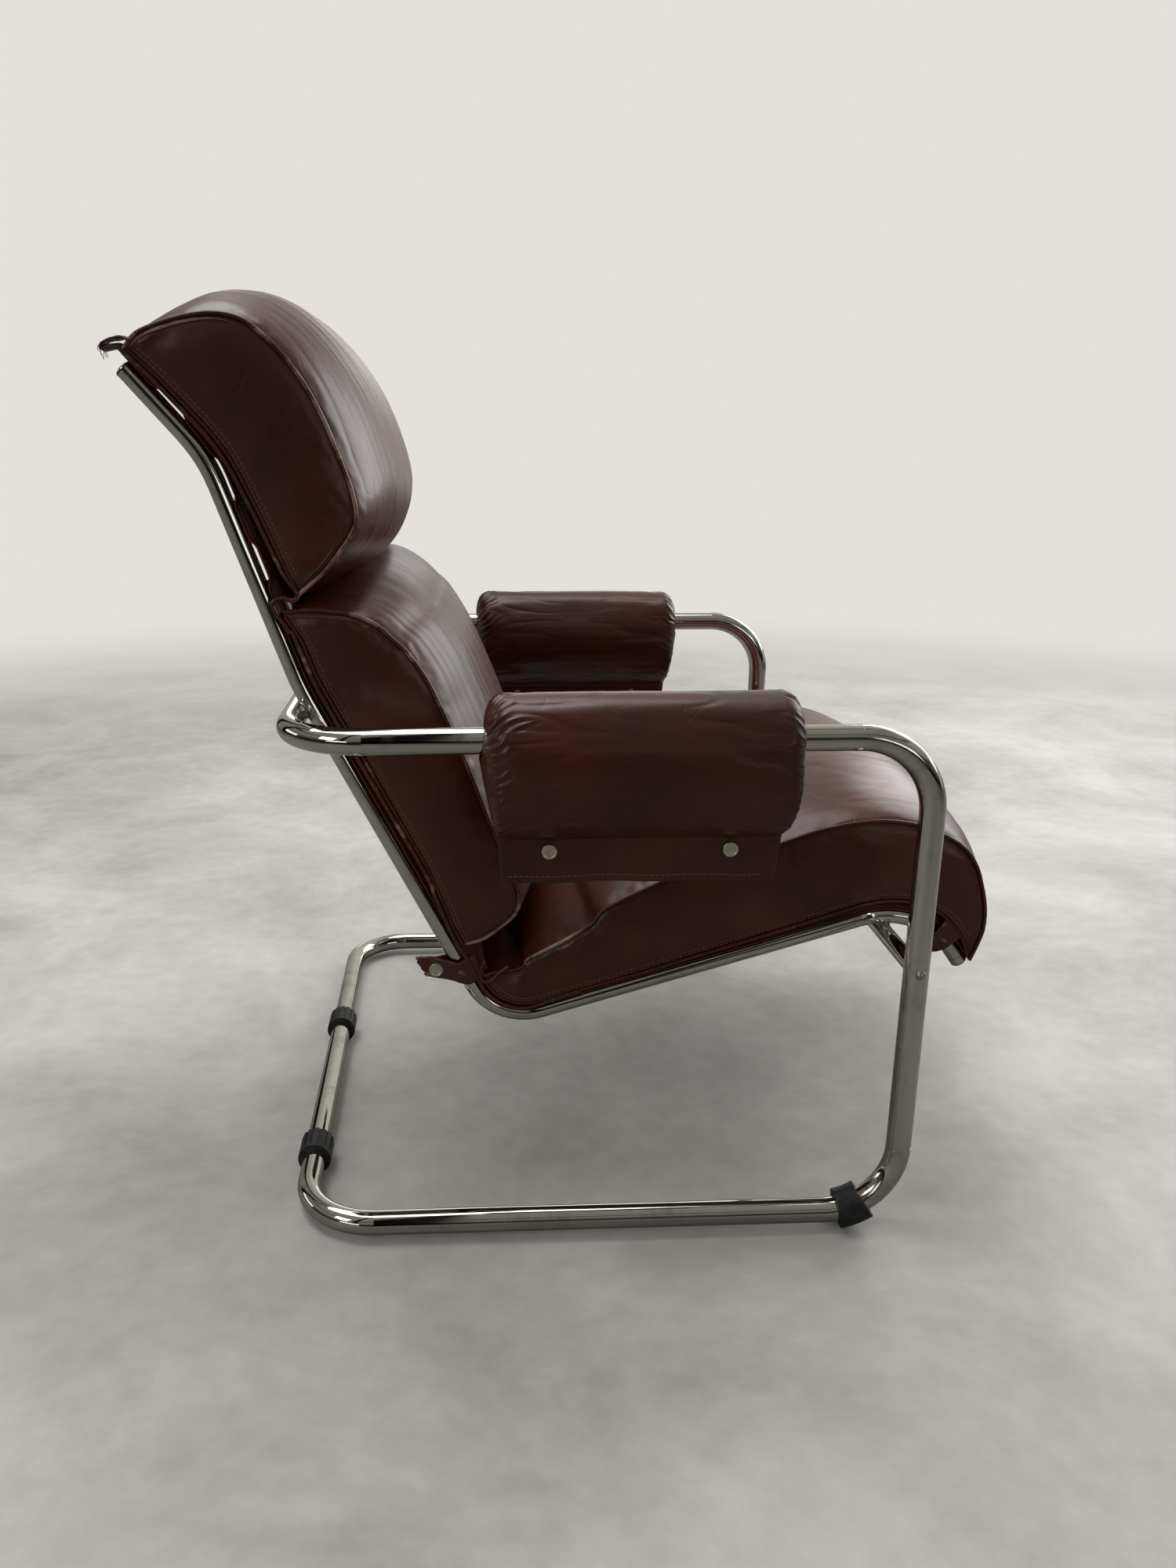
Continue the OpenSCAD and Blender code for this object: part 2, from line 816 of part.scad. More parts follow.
module stud_hole(s, y, tail) {
    at_tail_stud(s, y, tail)
        cylinder(d = stud_shank_d, h = 2 * tail_t, center = true);
}

// Strap on the back's straight, just above the crevice between back and seat
crevice_setback_share = 1.3;
crevice_strap_s = back_end_s - strap_w * crevice_setback_share;
crevice_tail = 27;
module crevice_strap(y) {
    color("#3b211c")
        difference() {
            on_rail(crevice_strap_s, y)
                rotate([0, 90, 0])
                    rotate([0, 0, 180])
                        linear_extrude(strap_w, center = true)
                            strap_section(crevice_tail);
            stud_hole(crevice_strap_s, y, crevice_tail);
        }
}

// Strap that follows the bend under the seat's nose
nose_place_share = 0.82;
nose_strap_s = nose_bend_s + arc_len(rail_path[3]) * nose_place_share;
nose_tail = 17;
module nose_strap(y) {
    sweep = strap_w / nose_bend_r * 180 / PI;
    color("#3b211c")
        difference() {
            to_origin()
                translate([nose_centre[0], y, nose_centre[1]])
                    rotate([90, 0, 0])
                        rotate([0, 0, pose(nose_strap_s)[1] + 90 - sweep / 2])
                            rotate_extrude(angle = sweep)
                                translate([nose_bend_r, 0])
                                    strap_section(nose_tail);
            stud_hole(nose_strap_s, y, nose_tail);
        }
}

module crevice_strap_right() {
    crevice_strap(-half_gauge);
}

module crevice_strap_left() {
    crevice_strap(half_gauge);
}

module nose_strap_right() {
    nose_strap(-half_gauge);
}

module nose_strap_left() {
    nose_strap(half_gauge);
}

module strap_studs() {
    for (y = [-half_gauge, half_gauge]) {
        at_tail_stud(crevice_strap_s, y, crevice_tail)
            stud(tail_t);
        at_tail_stud(nose_strap_s, y, nose_tail)
            stud(tail_t);
    }
}

// Leather tabs sewn to the hide's upper edge, turned down behind the rails' upper ends
tab_drop = 28;
tab_w = 30;
module head_tabs() {
    color("#3b211c")
        for (y = [-half_gauge, half_gauge])
            on_rail(-hide_over, y)
                translate([-tab_reach, -tab_w / 2, hide_top]) {
                    translate([0, 0, -hide_t])
                        cube([tab_reach, tab_w, hide_t]);
                    translate([0, 0, -tab_drop])
                        cube([hide_t, tab_w, tab_drop]);
                }
}

// Padded sleeve round the arm, gathered at its ends, over a flat flap closed by two studs.
// It is round above the arm and stays full below it, almost down to the flap.
pad_steps = 24;
pad_full_n = 0.6;
pad_flare = 15;
pad_mouth = 4.5;
pad_end_n = 10;
pad_stud_setback = 45;
pad_stud_rise = 33;
pad_mid_x = floor_reach - pad_setback - pad_len / 2;
module arm_pad(side) {
    mouth_r = tube_d / 2 + pad_mouth;
    half_t = pad_flap_t / 2;
    function roll_r(v) = mouth_r + (pad_r - mouth_r) * sqrt(1 - pow(abs(v), pad_end_n));
    function flare(z) = pad_flare * min(1, max(0, 1 + z / pad_drop));
    neck = pad_drop - pad_flap_h;
    function below(r, a) = [max(half_t, r * pow(cos(a), pad_full_n)), neck * sin(a)];
    function above(r, a) = [r * cos(a), r * sin(a)];
    function profile(v) = [
        [half_t, -pad_drop],
        [half_t, -neck],
        for (i = [1 : pad_steps])
            let (a = 180 * i / pad_steps - 90)
            a < 0 ? below(roll_r(v), a) : above(roll_r(v), a)
    ];
    function pad_point(v, p, s) = [
        pad_mid_x - origin_x + v * (pad_len / 2 + flare(p[1])),
        side * half_width + s * p[0],
        arm_z + p[1]
    ];
    vs = [-1, -0.985, -0.94, -0.86, -0.7, -0.4, 0, 0.4, 0.7, 0.86, 0.94, 0.985, 1];
    half = pad_steps + 2;
    size = 2 * half - 1;
    points = [
        for (v = vs)
            let (p = profile(v))
            each [
                for (i = [0 : half - 1]) pad_point(v, p[i], 1),
                for (i = [half - 2 : -1 : 0]) pad_point(v, p[i], -1)
            ]
    ];
    last = (len(vs) - 1) * size;
    skin = [
        for (j = [0 : len(vs) - 2], i = [0 : size - 1])
            let (k = (i + 1) % size, a = j * size, b = a + size)
            each [[a + i, a + k, b + k], [a + i, b + k, b + i]]
    ];
    closing = [
        for (i = [0 : half - 2])
            let (k = size - 1 - i, m = k - 1)
            each concat(
                [[i, k, i + 1], [last + i, last + i + 1, last + k]],
                i == half - 2 ? [] : [[i + 1, k, m], [last + i + 1, last + m, last + k]]
            )
    ];
    color("#4a2a24")
        difference() {
            polyhedron(points, [for (f = concat(skin, closing)) [f[0], f[2], f[1]]], convexity = 4);
            to_origin()
                translate([pad_mid_x, side * half_width, arm_z])
                    rotate([0, 90, 0])
                        cylinder(d = tube_d + 2 * soft_gap, h = 2 * pad_len, center = true);
            at_pad_studs(side)
                cylinder(d = stud_shank_d, h = 4 * pad_flap_t, center = true);
        }
}

// Places of a pad's two studs, with their caps facing outwards
module at_pad_studs(side) {
    to_origin()
        for (end = [-1, 1])
            translate([
                pad_mid_x + end * (pad_len / 2 - pad_stud_setback),
                side * (half_width + pad_flap_t / 2),
                arm_z - pad_drop + pad_stud_rise
            ])
                rotate([-side * 90, 0, 0])
                    children();
}

module arm_pad_right() {
    arm_pad(-1);
}

module arm_pad_left() {
    arm_pad(1);
}

module pad_studs_right() {
    at_pad_studs(-1)
        stud(pad_flap_t);
}

module pad_studs_left() {
    at_pad_studs(1)
        stud(pad_flap_t);
}

frame_tube_right();
frame_tube_left();
floor_bar_spigot();
crossbar_spigot();
side_rail_right();
side_rail_left();
rail_plug_top_right();
rail_plug_top_left();
rail_plug_nose_right();
rail_plug_nose_left();
front_crossbar();
crossbar_inserts();
upright_bolts();
weld_fillets();
webbing_clips_right();
webbing_clips_left();
back_webbing();
seat_webbing();
webbing_rivets();
floor_ring_right();
floor_ring_left();
front_ring_right();
front_ring_left();
leather_hide();
head_cushion();
back_cushion();
seat_cushion();
crevice_strap_right();
crevice_strap_left();
nose_strap_right();
nose_strap_left();
strap_studs();
head_tabs();
arm_pad_right();
arm_pad_left();
pad_studs_right();
pad_studs_left();
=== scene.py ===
"""Dresses the cantilever lounge chair: chromed tube, worn oxblood leather and black rubber.

Every size is in millimetres in the chair's own frame (X to the front, Y to the sitter's
left, Z up) and becomes metres where a mesh is made.
"""

import logging
import math
from collections.abc import Callable, Iterable, Sequence
from dataclasses import dataclass, field
from enum import Enum
from functools import partial

import bmesh
import bpy
from mathutils import Matrix, Vector, noise
from mathutils.bvhtree import BVHTree
from mathutils.kdtree import KDTree


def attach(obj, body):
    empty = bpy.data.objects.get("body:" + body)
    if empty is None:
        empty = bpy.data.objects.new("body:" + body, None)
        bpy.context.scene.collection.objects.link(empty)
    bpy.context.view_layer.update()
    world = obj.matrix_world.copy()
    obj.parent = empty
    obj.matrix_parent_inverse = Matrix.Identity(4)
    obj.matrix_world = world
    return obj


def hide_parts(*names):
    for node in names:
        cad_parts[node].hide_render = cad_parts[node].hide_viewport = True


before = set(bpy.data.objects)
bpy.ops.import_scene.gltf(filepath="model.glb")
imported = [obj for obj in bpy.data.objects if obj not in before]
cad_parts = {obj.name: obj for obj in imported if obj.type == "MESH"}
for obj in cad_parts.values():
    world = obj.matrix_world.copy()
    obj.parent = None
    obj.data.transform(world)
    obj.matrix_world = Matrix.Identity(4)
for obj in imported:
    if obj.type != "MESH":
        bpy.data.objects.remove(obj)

MM = 0.001
LOG = logging.getLogger("lounge_chair")
RAIL_Y = 257.0  # distance of each side rail from the chair's middle

Point = tuple[float, float]
Paths = list[list[Vector]]
Place = Callable[[float, float], Vector]
Piece = bpy.types.Object
Vertex = bpy.types.MeshVertex
Material = bpy.types.Material
Socket = bpy.types.NodeSocket


class Side(Enum):
    """The two sides of the chair, as the sign of Y."""

    RIGHT = -1
    LEFT = 1

    @property
    def word(self) -> str:
        """Name of the side as CAD nodes spell it."""
        return self.name.lower()


# Small helpers.


def linear(code: str) -> tuple[float, float, float, float]:
    """Turns an sRGB hex colour into linear RGBA with full alpha."""
    raw = [int(code[i : i + 2], 16) / 255 for i in (1, 3, 5)]
    rgb = [c / 12.92 if c <= 0.04045 else ((c + 0.055) / 1.055) ** 2.4 for c in raw]
    return rgb[0], rgb[1], rgb[2], 1.0


def smoothstep(low: float, high: float, x: float) -> float:
    """Eases from 0 at low to 1 at high."""
    t = min(1.0, max(0.0, (x - low) / (high - low)))
    return t * t * (3 - 2 * t)


def interpolate(table: Sequence[Point], x: float) -> float:
    """Reads a value from a table of (x, value) pairs, straight between them."""
    if x <= table[0][0]:
        return table[0][1]
    for (x0, y0), (x1, y1) in zip(table, table[1:]):
        if x <= x1:
            return y0 + (y1 - y0) * (x - x0) / (x1 - x0)
    return table[-1][1]


def ripple(p: Vector, *scales: float, shift: Sequence[float] = (0, 0, 0)) -> float:
    """Noise at a place in millimetres, with its wavelength along X, Y and Z and a shift."""
    return noise.noise(Vector([c / s for c, s in zip(p, scales)]) + Vector(shift))


class Recipe:
    """Shader nodes of one material or world, with short ways to add the kinds that recur."""

    def __init__(self, owner: Material | bpy.types.World, coordinates: str = "Object") -> None:
        """Clears the owner's nodes and adds its coordinates, in metres."""
        owner.use_nodes = True
        self.owner, self.tree = owner, owner.node_tree
        self.tree.nodes.clear()
        self.place = self.add("TexCoord").outputs[coordinates]

    def add(self, kind: str, **settings: object) -> bpy.types.Node:
        """Adds a node with its settings and links.

        Args:
            kind: Blender's node type without its first word, such as "TexNoise".
            **settings: Input sockets by name with spaces as underscores, or node properties.
                A value that is a socket is linked, and "input_N" names an input by number.

        Returns:
            The new node.
        """
        node = self.tree.nodes.new(f"ShaderNode{kind}")
        sockets = {s.name.replace(" ", "_"): s for s in reversed(node.inputs)}
        sockets.update({f"input_{i}": s for i, s in enumerate(node.inputs)})
        for key, value in settings.items():
            if key not in sockets:
                setattr(node, key, value)
            elif isinstance(value, Socket):
                self.tree.links.new(value, sockets[key])
            else:
                sockets[key].default_value = value
        return node

    def math(self, operation: str, *values: object) -> Socket:
        """Works on sockets or numbers."""
        inputs = {f"input_{i}": value for i, value in enumerate(values)}
        return self.add("Math", operation=operation, **inputs).outputs[0]

    def noise(self, size: float, **settings: object) -> Socket:
        """Adds noise with features of a size in millimetres."""
        node = self.add("TexNoise", Vector=self.place, Scale=1 / (size * MM), **settings)
        return node.outputs["Fac"]

    def span(
        self, value: Socket, low: float, high: float, start: float = 0.0, end: float = 1.0, smooth: bool = False
    ) -> Socket:
        """Maps low to start and high to end, and holds the value there outside of them."""
        kind = {"interpolation_type": "SMOOTHSTEP"} if smooth else {}
        return self.add(
            "MapRange", Value=value, From_Min=low, From_Max=high, To_Min=start, To_Max=end, **kind
        ).outputs["Result"]

    def ramp(self, fac: Socket, *stops: tuple[float, str]) -> Socket:
        """Maps a value to colours through pairs of position and hex colour, in order."""
        node = self.add("ValToRGB", Fac=fac)
        elements = node.color_ramp.elements
        for i, (place, code) in enumerate(stops):
            element = elements[i] if i < 2 else elements.new(place)
            element.position = place
            element.color = linear(code)
        return node.outputs["Color"]

    def mix(self, share: object, a: object, b: object, blend: str = "MIX") -> Socket:
        """Mixes two colours."""
        node = self.add("Mix", data_type="RGBA", blend_type=blend, input_0=share, input_6=a, input_7=b)
        return node.outputs[2]

    def blend(self, share: Socket, a: Socket, b: Socket) -> Socket:
        """Mixes two shaders."""
        return self.add("MixShader", Fac=share, input_1=a, input_2=b).outputs["Shader"]

    def bump(self, strength: float, depth: float, height: Socket, **settings: object) -> Socket:
        """Turns a height into a bent normal, with the relief's depth in millimetres."""
        node = self.add("Bump", Strength=strength, Distance=depth * MM, Height=height, **settings)
        return node.outputs["Normal"]

    def shader(self, **inputs: object) -> Socket:
        """Adds the Principled shader."""
        return self.add("BsdfPrincipled", **inputs).outputs["BSDF"]

    def finish(self, **inputs: object) -> Material:
        """Ends a material with the Principled shader and gives it back."""
        self.add("OutputMaterial", Surface=self.shader(**inputs))
        return self.owner


def link_object(name: str, data: bpy.types.ID) -> Piece:
    """Puts an object for some data in the scene, at the origin."""
    obj = bpy.data.objects.new(name, data)
    bpy.context.scene.collection.objects.link(obj)
    return obj


def new_object(name: str, bm: bmesh.types.BMesh, smooth: bool = True) -> Piece:
    """Turns a bmesh in millimetres into an object in metres at the origin.

    Args:
        name: Name of the piece.
        bm: The finished mesh, which is freed.
        smooth: Whether faces are shaded smooth.

    Returns:
        The linked object.
    """
    bmesh.ops.scale(bm, vec=(MM, MM, MM), verts=bm.verts)
    for face in bm.faces:
        face.smooth = smooth
    mesh = bpy.data.meshes.new(name)
    bm.to_mesh(mesh)
    bm.free()
    return link_object(name, mesh)


def finish_piece(obj: Piece, material: Material, *nodes: str, slot: str = "leather") -> Piece:
    """Dresses a piece, rides it on the chair and logs it.

    Args:
        obj: The piece.
        material: Material that it takes.
        *nodes: CAD nodes that the piece stands for.
        slot: Not used.

    Returns:
        The same piece.
    """
    obj.data.materials.clear()
    obj.data.materials.append(material)
    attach(obj, "root")
    if nodes:
        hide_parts(*nodes)
    LOG.info("%s: %d faces, stands for %s", obj.name, len(obj.data.polygons), nodes or "itself")
    return obj


# The rail's path.


@dataclass(frozen=True)
class RailBend:
    """A straight leg, as long as it is up to the next corner, and the bend after it."""

    leg: float
    slope: float
    radius: float


@dataclass(frozen=True)
class RailPath:
    """Side view of a rail's centreline, measured by the distance s from its upper end."""

    bends: tuple[RailBend, ...] = (
        RailBend(104, -48.8, 140),
        RailBend(230, -70.6, 240),
        RailBend(415, -62.8, 62),
        RailBend(470, 16.3, 92),
        RailBend(87, -54.4, 0),
    )
    rail_d: float = 18
    nose_x: float = 317.1
    crossbar_z: float = 290.75
    seam: float = 0.1

    def _turn(self, i: int) -> float:
        """Angle of bend i in radians."""
        return math.radians(abs(self.bends[i + 1].slope - self.bends[i].slope))

    def _tangent(self, i: int) -> float:
        """Length that bend i takes from each of its legs."""
        if not 0 <= i < len(self.bends) - 1:
            return 0.0
        return self.bends[i].radius * math.tan(self._turn(i) / 2)

    def straight(self, i: int) -> float:
        """Length of leg i between its bends."""
        return self.bends[i].leg - self._tangent(i - 1) - self._tangent(i)

    def arc(self, i: int) -> float:
        """Length of bend i along the centreline."""
        return self.bends[i].radius * self._turn(i)

    def start(self, i: int) -> float:
        """Distance s at which straight i starts."""
        return sum(self.straight(k) + self.arc(k) for k in range(i))

    @property
    def length(self) -> float:
        """Length of the whole centreline."""
        last = len(self.bends) - 1
        return self.start(last) + self.straight(last)

    def _raw(self, s: float) -> tuple[Vector, float]:
        """Place and heading at s, from an upper end at zero."""
        p, last = Vector((0.0, 0.0)), len(self.bends) - 1
        for i, bend in enumerate(self.bends):
            a = math.radians(bend.slope)
            run = self.straight(i)
            if i == last or s <= run:
                return p + s * Vector((math.cos(a), math.sin(a))), a
            p = p + run * Vector((math.cos(a), math.sin(a)))
            turn = math.radians(self.bends[i + 1].slope) - a
            side = math.copysign(bend.radius, turn)
            centre = p + side * Vector((-math.sin(a), math.cos(a)))
            if s <= run + self.arc(i):
                b = a + math.copysign((s - run) / bend.radius, turn)
                return centre - side * Vector((-math.sin(b), math.cos(b))), b
            b = a + turn
            p = centre - side * Vector((-math.sin(b), math.cos(b)))
            s -= run + self.arc(i)
        raise ValueError("the rail has no legs")

    def pose(self, s: float) -> tuple[Vector, float]:
        """Place in X and Z and heading in radians at distance s."""
        p, a = self._raw(self.start(3) + self.straight(3))
        r = self.bends[3].radius
        centre = p - r * Vector((-math.sin(a), math.cos(a)))
        goal = Vector((self.nose_x, self.crossbar_z + self.rail_d + self.seam - r))
        q, heading = self._raw(s)
        return q + goal - centre, heading

    def point(self, s: float, h: float, y: float) -> Vector:
        """Place at distance s along the rail, h above its axis towards the sitter."""
        p, a = self.pose(s)
        return Vector((p.x - h * math.sin(a), y, p.y + h * math.cos(a)))


RAIL = RailPath()


# Finishes.


@dataclass(frozen=True)
class ChromePlate:
    """Polished chrome plating on steel tube: buffed bright, with fine handling scuffs.

    The plating is almost a mirror, so most of its look is the room. A faint haze of
    wiped dust and hairline scuffs breaks the reflections where hands and floors rub.
    """

    name: str = "polished_chrome_plate"
    colour: str = "#d9d6cf"
    haze_colour: str = "#a9a49a"
    smooth: float = 0.05
    hazy: float = 0.2
    haze_mm: float = 38
    scuff_mm: float = 2.2

    def make(self) -> Material:
        """Builds the chrome material."""
        kit = Recipe(bpy.data.materials.new(self.name))
        mask = kit.span(kit.noise(self.haze_mm, Detail=6.0, Roughness=0.62), 0.52, 0.78)
        return kit.finish(
            Base_Color=kit.mix(mask, linear(self.colour), linear(self.haze_colour)),
            Roughness=kit.span(mask, 0.0, 1.0, self.smooth, self.hazy),
            Metallic=1.0,
            Normal=kit.bump(0.03, 0.2, kit.noise(self.scuff_mm, Detail=3.0, Distortion=1.5)),
        )


@dataclass(frozen=True)
class DullMetal:
    """Bare or lightly plated metal of small fittings: turned and tumbled, with grain."""

    name: str
    colour: str
    worn: str
    rough: float = 0.32
    grain_mm: float = 1.6

    def make(self) -> Material:
        """Builds the fitting's material."""
        kit = Recipe(bpy.data.materials.new(self.name))
        grain = kit.noise(self.grain_mm, Detail=5.0)
        return kit.finish(
            Base_Color=kit.ramp(grain, (0.35, self.worn), (0.62, self.colour)),
            Roughness=kit.span(grain, 0.0, 1.0, self.rough * 0.75, self.rough * 1.35),
            Metallic=1.0,
            Normal=kit.bump(0.12, 0.2, grain),
        )


@dataclass(frozen=True)
class MouldedRubber:
    """Black rubber, pressed in a mould: matt, faintly dusty, with a fine pebble."""

    name: str = "moulded_black_rubber"
    colour: str = "#1b1b1d"
    dust: str = "#3b3a3a"
    pebble_mm: float = 0.9
    dust_mm: float = 11

    def make(self) -> Material:
        """Builds the rubber material."""
        kit = Recipe(bpy.data.materials.new(self.name))
        dust = kit.noise(self.dust_mm, Detail=7.0)
        return kit.finish(
            Base_Color=kit.ramp(dust, (0.42, self.colour), (0.78, self.dust)),
            Normal=kit.bump(0.25, 0.3, kit.noise(self.pebble_mm)),
            Roughness=0.52,
            IOR=1.52,
        )


@dataclass(frozen=True)
class SatinEnamel:
    """Black stoving enamel on small steel clips: sprayed, slightly orange-peeled; it also colours the black rings
    of painted shade in the rail plugs' grooves.
    """

    name: str = "black_satin_enamel"
    colour: str = "#121213"
    chip: str = "#2b2a28"
    peel_mm: float = 3.5

    def make(self) -> Material:
        """Builds the enamel material."""
        kit = Recipe(bpy.data.materials.new(self.name))
        peel = kit.noise(self.peel_mm)
        return kit.finish(
            Base_Color=kit.ramp(peel, (0.3, self.colour), (0.8, self.chip)),
            Normal=kit.bump(0.1, 0.3, peel),
            Roughness=0.38,
        )


@dataclass(frozen=True)
class WovenWebbing:
    """Black furniture webbing: coarse flat weave of man-made yarn, dull with a dry sheen."""

    name: str = "woven_black_webbing"
    thread: str = "#1d1c1c"
    gap: str = "#080808"
    yarn_mm: float = 2.4

    def make(self) -> Material:
        """Builds the webbing material."""
        kit = Recipe(bpy.data.materials.new(self.name))
        scale = 2 * math.pi / (20 * self.yarn_mm * MM)
        x, y, z = (
            kit.add("TexWave", Vector=kit.place, bands_direction=way, Scale=scale, Distortion=0.4).outputs["Fac"]
            for way in "XYZ"
        )
        weave = kit.math("MULTIPLY", kit.math("ADD", x, z), y)
        return kit.finish(
            Base_Color=kit.ramp(weave, (0.0, self.gap), (0.7, self.thread)),
            Normal=kit.bump(0.6, 0.6, weave),
            Roughness=0.85,
            Sheen_Weight=0.2,
        )


@dataclass(frozen=True)
class GlazedLeather:
    """Aniline-dyed cowhide with a glazed finish: dyed through, polished and worn soft.

    The dye is deep oxblood brown, a little redder where the leather is stretched and paler
    where it rubs. A soft glaze reflects the room broadly, pebbled grain breaks its edge up,
    and long creases run where the hide folds. The wear attribute bares paler leather.
    """

    name: str = "glazed_oxblood_leather"
    dark: str = "#3a140b"
    base: str = "#4f1c10"
    warm: str = "#642815"
    rubbed: str = "#b99585"
    grain_mm: float = 1.7
    fray_mm: float = 6
    swell_mm: float = 34
    crease_mm: float = 62
    patch_mm: float = 130
    long_mm: float = 260
    drawn_mm: float = 11
    rough: float = 0.355
    grain_depth: float = 0.25
    crease_depth: float = 0.8

    def make(self) -> Material:
        """Builds the leather material."""
        kit = Recipe(bpy.data.materials.new(self.name))
        patch = kit.noise(self.patch_mm, Detail=5.0, Roughness=0.6)
        dye = kit.ramp(patch, (0.3, self.dark), (0.52, self.base), (0.74, self.warm))
        wear = kit.add("Attribute", attribute_name="wear").outputs["Fac"]
        frayed = kit.math("ADD", wear, kit.noise(self.fray_mm, Detail=6.0, Roughness=0.7))
        grain = kit.add(
            "TexVoronoi", Vector=kit.place, feature="DISTANCE_TO_EDGE", Scale=1 / (self.grain_mm * MM)
        ).outputs["Distance"]
        pores = kit.bump(0.16, self.grain_depth, kit.span(grain, 0.0, 0.25))
        return kit.finish(
            Base_Color=kit.mix(kit.span(frayed, 0.92, 1.3, 0.0, 0.9), dye, linear(self.rubbed)),
            Roughness=kit.span(patch, 0.3, 0.75, self.rough * 1.2, self.rough * 0.85),
            Normal=kit.bump(0.55, self.crease_depth, self._creases(kit), Normal=pores),
            IOR=1.5,
            Coat_Weight=0.25,
            Coat_Roughness=0.24,
        )

    def _creases(self, kit: Recipe) -> Socket:
        """Height of a few thin wandering valleys and long drawn ones on a gentle swell."""

        def valley(value: Socket, width: float, depth: float) -> Socket:
            """A valley wherever a noise passes through its middle value."""
            away = kit.math("ABSOLUTE", kit.math("SUBTRACT", value, 0.5))
            return kit.span(away, 0.0, width, depth, 0.0, smooth=True)

        lines = kit.noise(self.crease_mm, Detail=2.0, Roughness=0.4, Distortion=0.6)
        some = kit.span(kit.noise(self.patch_mm * 0.7), 0.5, 0.66, smooth=True)
        scale = [1 / (size * MM) for size in (self.long_mm, self.drawn_mm, self.long_mm)]
        stretched = kit.add("Mapping", Vector=kit.place, Scale=scale).outputs["Vector"]
        drawn = kit.add("TexNoise", Vector=stretched, Scale=1.0, Detail=3.0, Roughness=0.55).outputs["Fac"]
        cut = kit.math("MULTIPLY", valley(lines, 0.022, 1.0), some)
        valleys = kit.math("MAXIMUM", cut, valley(drawn, 0.03, 0.33))
        return kit.math("MULTIPLY_ADD", valleys, -0.45, kit.noise(self.swell_mm))


@dataclass(frozen=True)
class SewingThread:
    """Bonded brown upholstery thread: waxed and tightly twisted, a touch paler than leather."""

    name: str = "bonded_brown_thread"
    colour: str = "#a8806f"
    shade: str = "#6a4236"
    twist_mm: float = 0.8

    def make(self) -> Material:
        """Builds the thread material."""
        kit = Recipe(bpy.data.materials.new(self.name))
        twist = kit.noise(self.twist_mm)
        return kit.finish(Base_Color=kit.ramp(twist, (0.3, self.shade), (0.7, self.colour)), Roughness=0.5)


class Finishes:
    """Every material of the chair, made once."""

    def __init__(self) -> None:
        """Makes the materials."""
        self.chrome = ChromePlate().make()
        self.steel = DullMetal("plain_steel", "#8f9092", "#6c6d70", 0.4).make()
        self.bolt = DullMetal("zinc_plated_bolt", "#d3d1cb", "#9b9892", 0.3, 3).make()
        self.weld = DullMetal("plated_weld_bead", "#b9b6ae", "#5c5a55", 0.28, 4).make()
        self.stud = DullMetal("pale_plated_stud", "#eee5d3", "#cfc3ad", 0.4, 3).make()
        self.rubber = MouldedRubber().make()
        self.enamel = SatinEnamel().make()
        self.webbing = WovenWebbing().make()
        self.leather = GlazedLeather().make()
        self.thread = SewingThread().make()


# Shaping helpers.


def reach_of(path: Sequence[Vector]) -> list[float]:
    """Distance of each point from the path's start, along the path."""
    reach = [0.0]
    for p, q in zip(path, path[1:]):
        reach.append(reach[-1] + (q - p).length)
    return reach


def smooth_path(points: Sequence[Point], count: int) -> list[Vector]:
    """Draws a smooth curve through points and divides it evenly.

    Args:
        points: Corners that the curve passes through.
        count: Number of equal stretches.

    Returns:
        The count + 1 places along the curve.
    """
    knots = [Vector(p) for p in points]
    knots = [2 * knots[0] - knots[1], *knots, 2 * knots[-1] - knots[-2]]
    fine: list[Vector] = []
    for a, b, c, d in zip(knots, knots[1:], knots[2:], knots[3:]):
        for k in range(12):
            t = k / 12
            quadratic = 2 * b + (c - a) * t + (2 * a - 5 * b + 4 * c - d) * t**2
            fine.append(0.5 * (quadratic + (3 * b - a - 3 * c + d) * t**3))
    fine.append(knots[-2])
    reach = reach_of(fine)
    path, k = [], 0
    for i in range(count + 1):
        goal = reach[-1] * i / count
        while k < len(fine) - 2 and reach[k + 1] < goal:
            k += 1
        span = max(reach[k + 1] - reach[k], 1e-9)
        path.append(fine[k].lerp(fine[k + 1], min(1.0, max(0.0, (goal - reach[k]) / span))))
    return path


def along(path: Sequence[Vector], u: float) -> Vector:
    """Place on an evenly divided path at share u."""
    k = u * (len(path) - 1)
    return path[min(len(path) - 2, int(k))].lerp(path[min(len(path) - 1, int(k) + 1)], k - int(k))


def nearest(places: Sequence[Vector]) -> Callable[[Vector], tuple[Vector, int, float]]:
    """Makes a search for the nearest of some places, its number and its distance."""
    tree = KDTree(len(places))
    for i, place in enumerate(places):
        tree.insert(place, i)
    tree.balance()
    return tree.find


def add_sheet(bm: bmesh.types.BMesh, columns: int, rows: int, place: Place, panel: int = 0) -> None:
    """Adds a grid whose vertices are laid out by a function of two shares from 0 to 1.

    Args:
        bm: Mesh that takes the grid.
        columns: Faces along the first share.
        rows: Faces along the second share.
        place: Gives the place of a vertex.
        panel: Number kept in the vertices' panel layer, if the mesh has one.
    """
    layer = bm.verts.layers.int.get("panel")
    for vert in bmesh.ops.create_grid(bm, x_segments=columns, y_segments=rows, size=0.5)["verts"]:
        vert.co = place(vert.co.x + 0.5, vert.co.y + 0.5)
        if layer:
            vert[layer] = panel


def close_mesh(bm: bmesh.types.BMesh, gap: float = 0.02) -> None:
    """Joins a mesh's sheets along their seams and turns its faces outwards."""
    bmesh.ops.remove_doubles(bm, verts=bm.verts, dist=gap)
    bmesh.ops.dissolve_degenerate(bm, dist=gap / 2, edges=bm.edges)
    bmesh.ops.recalc_face_normals(bm, faces=bm.faces)


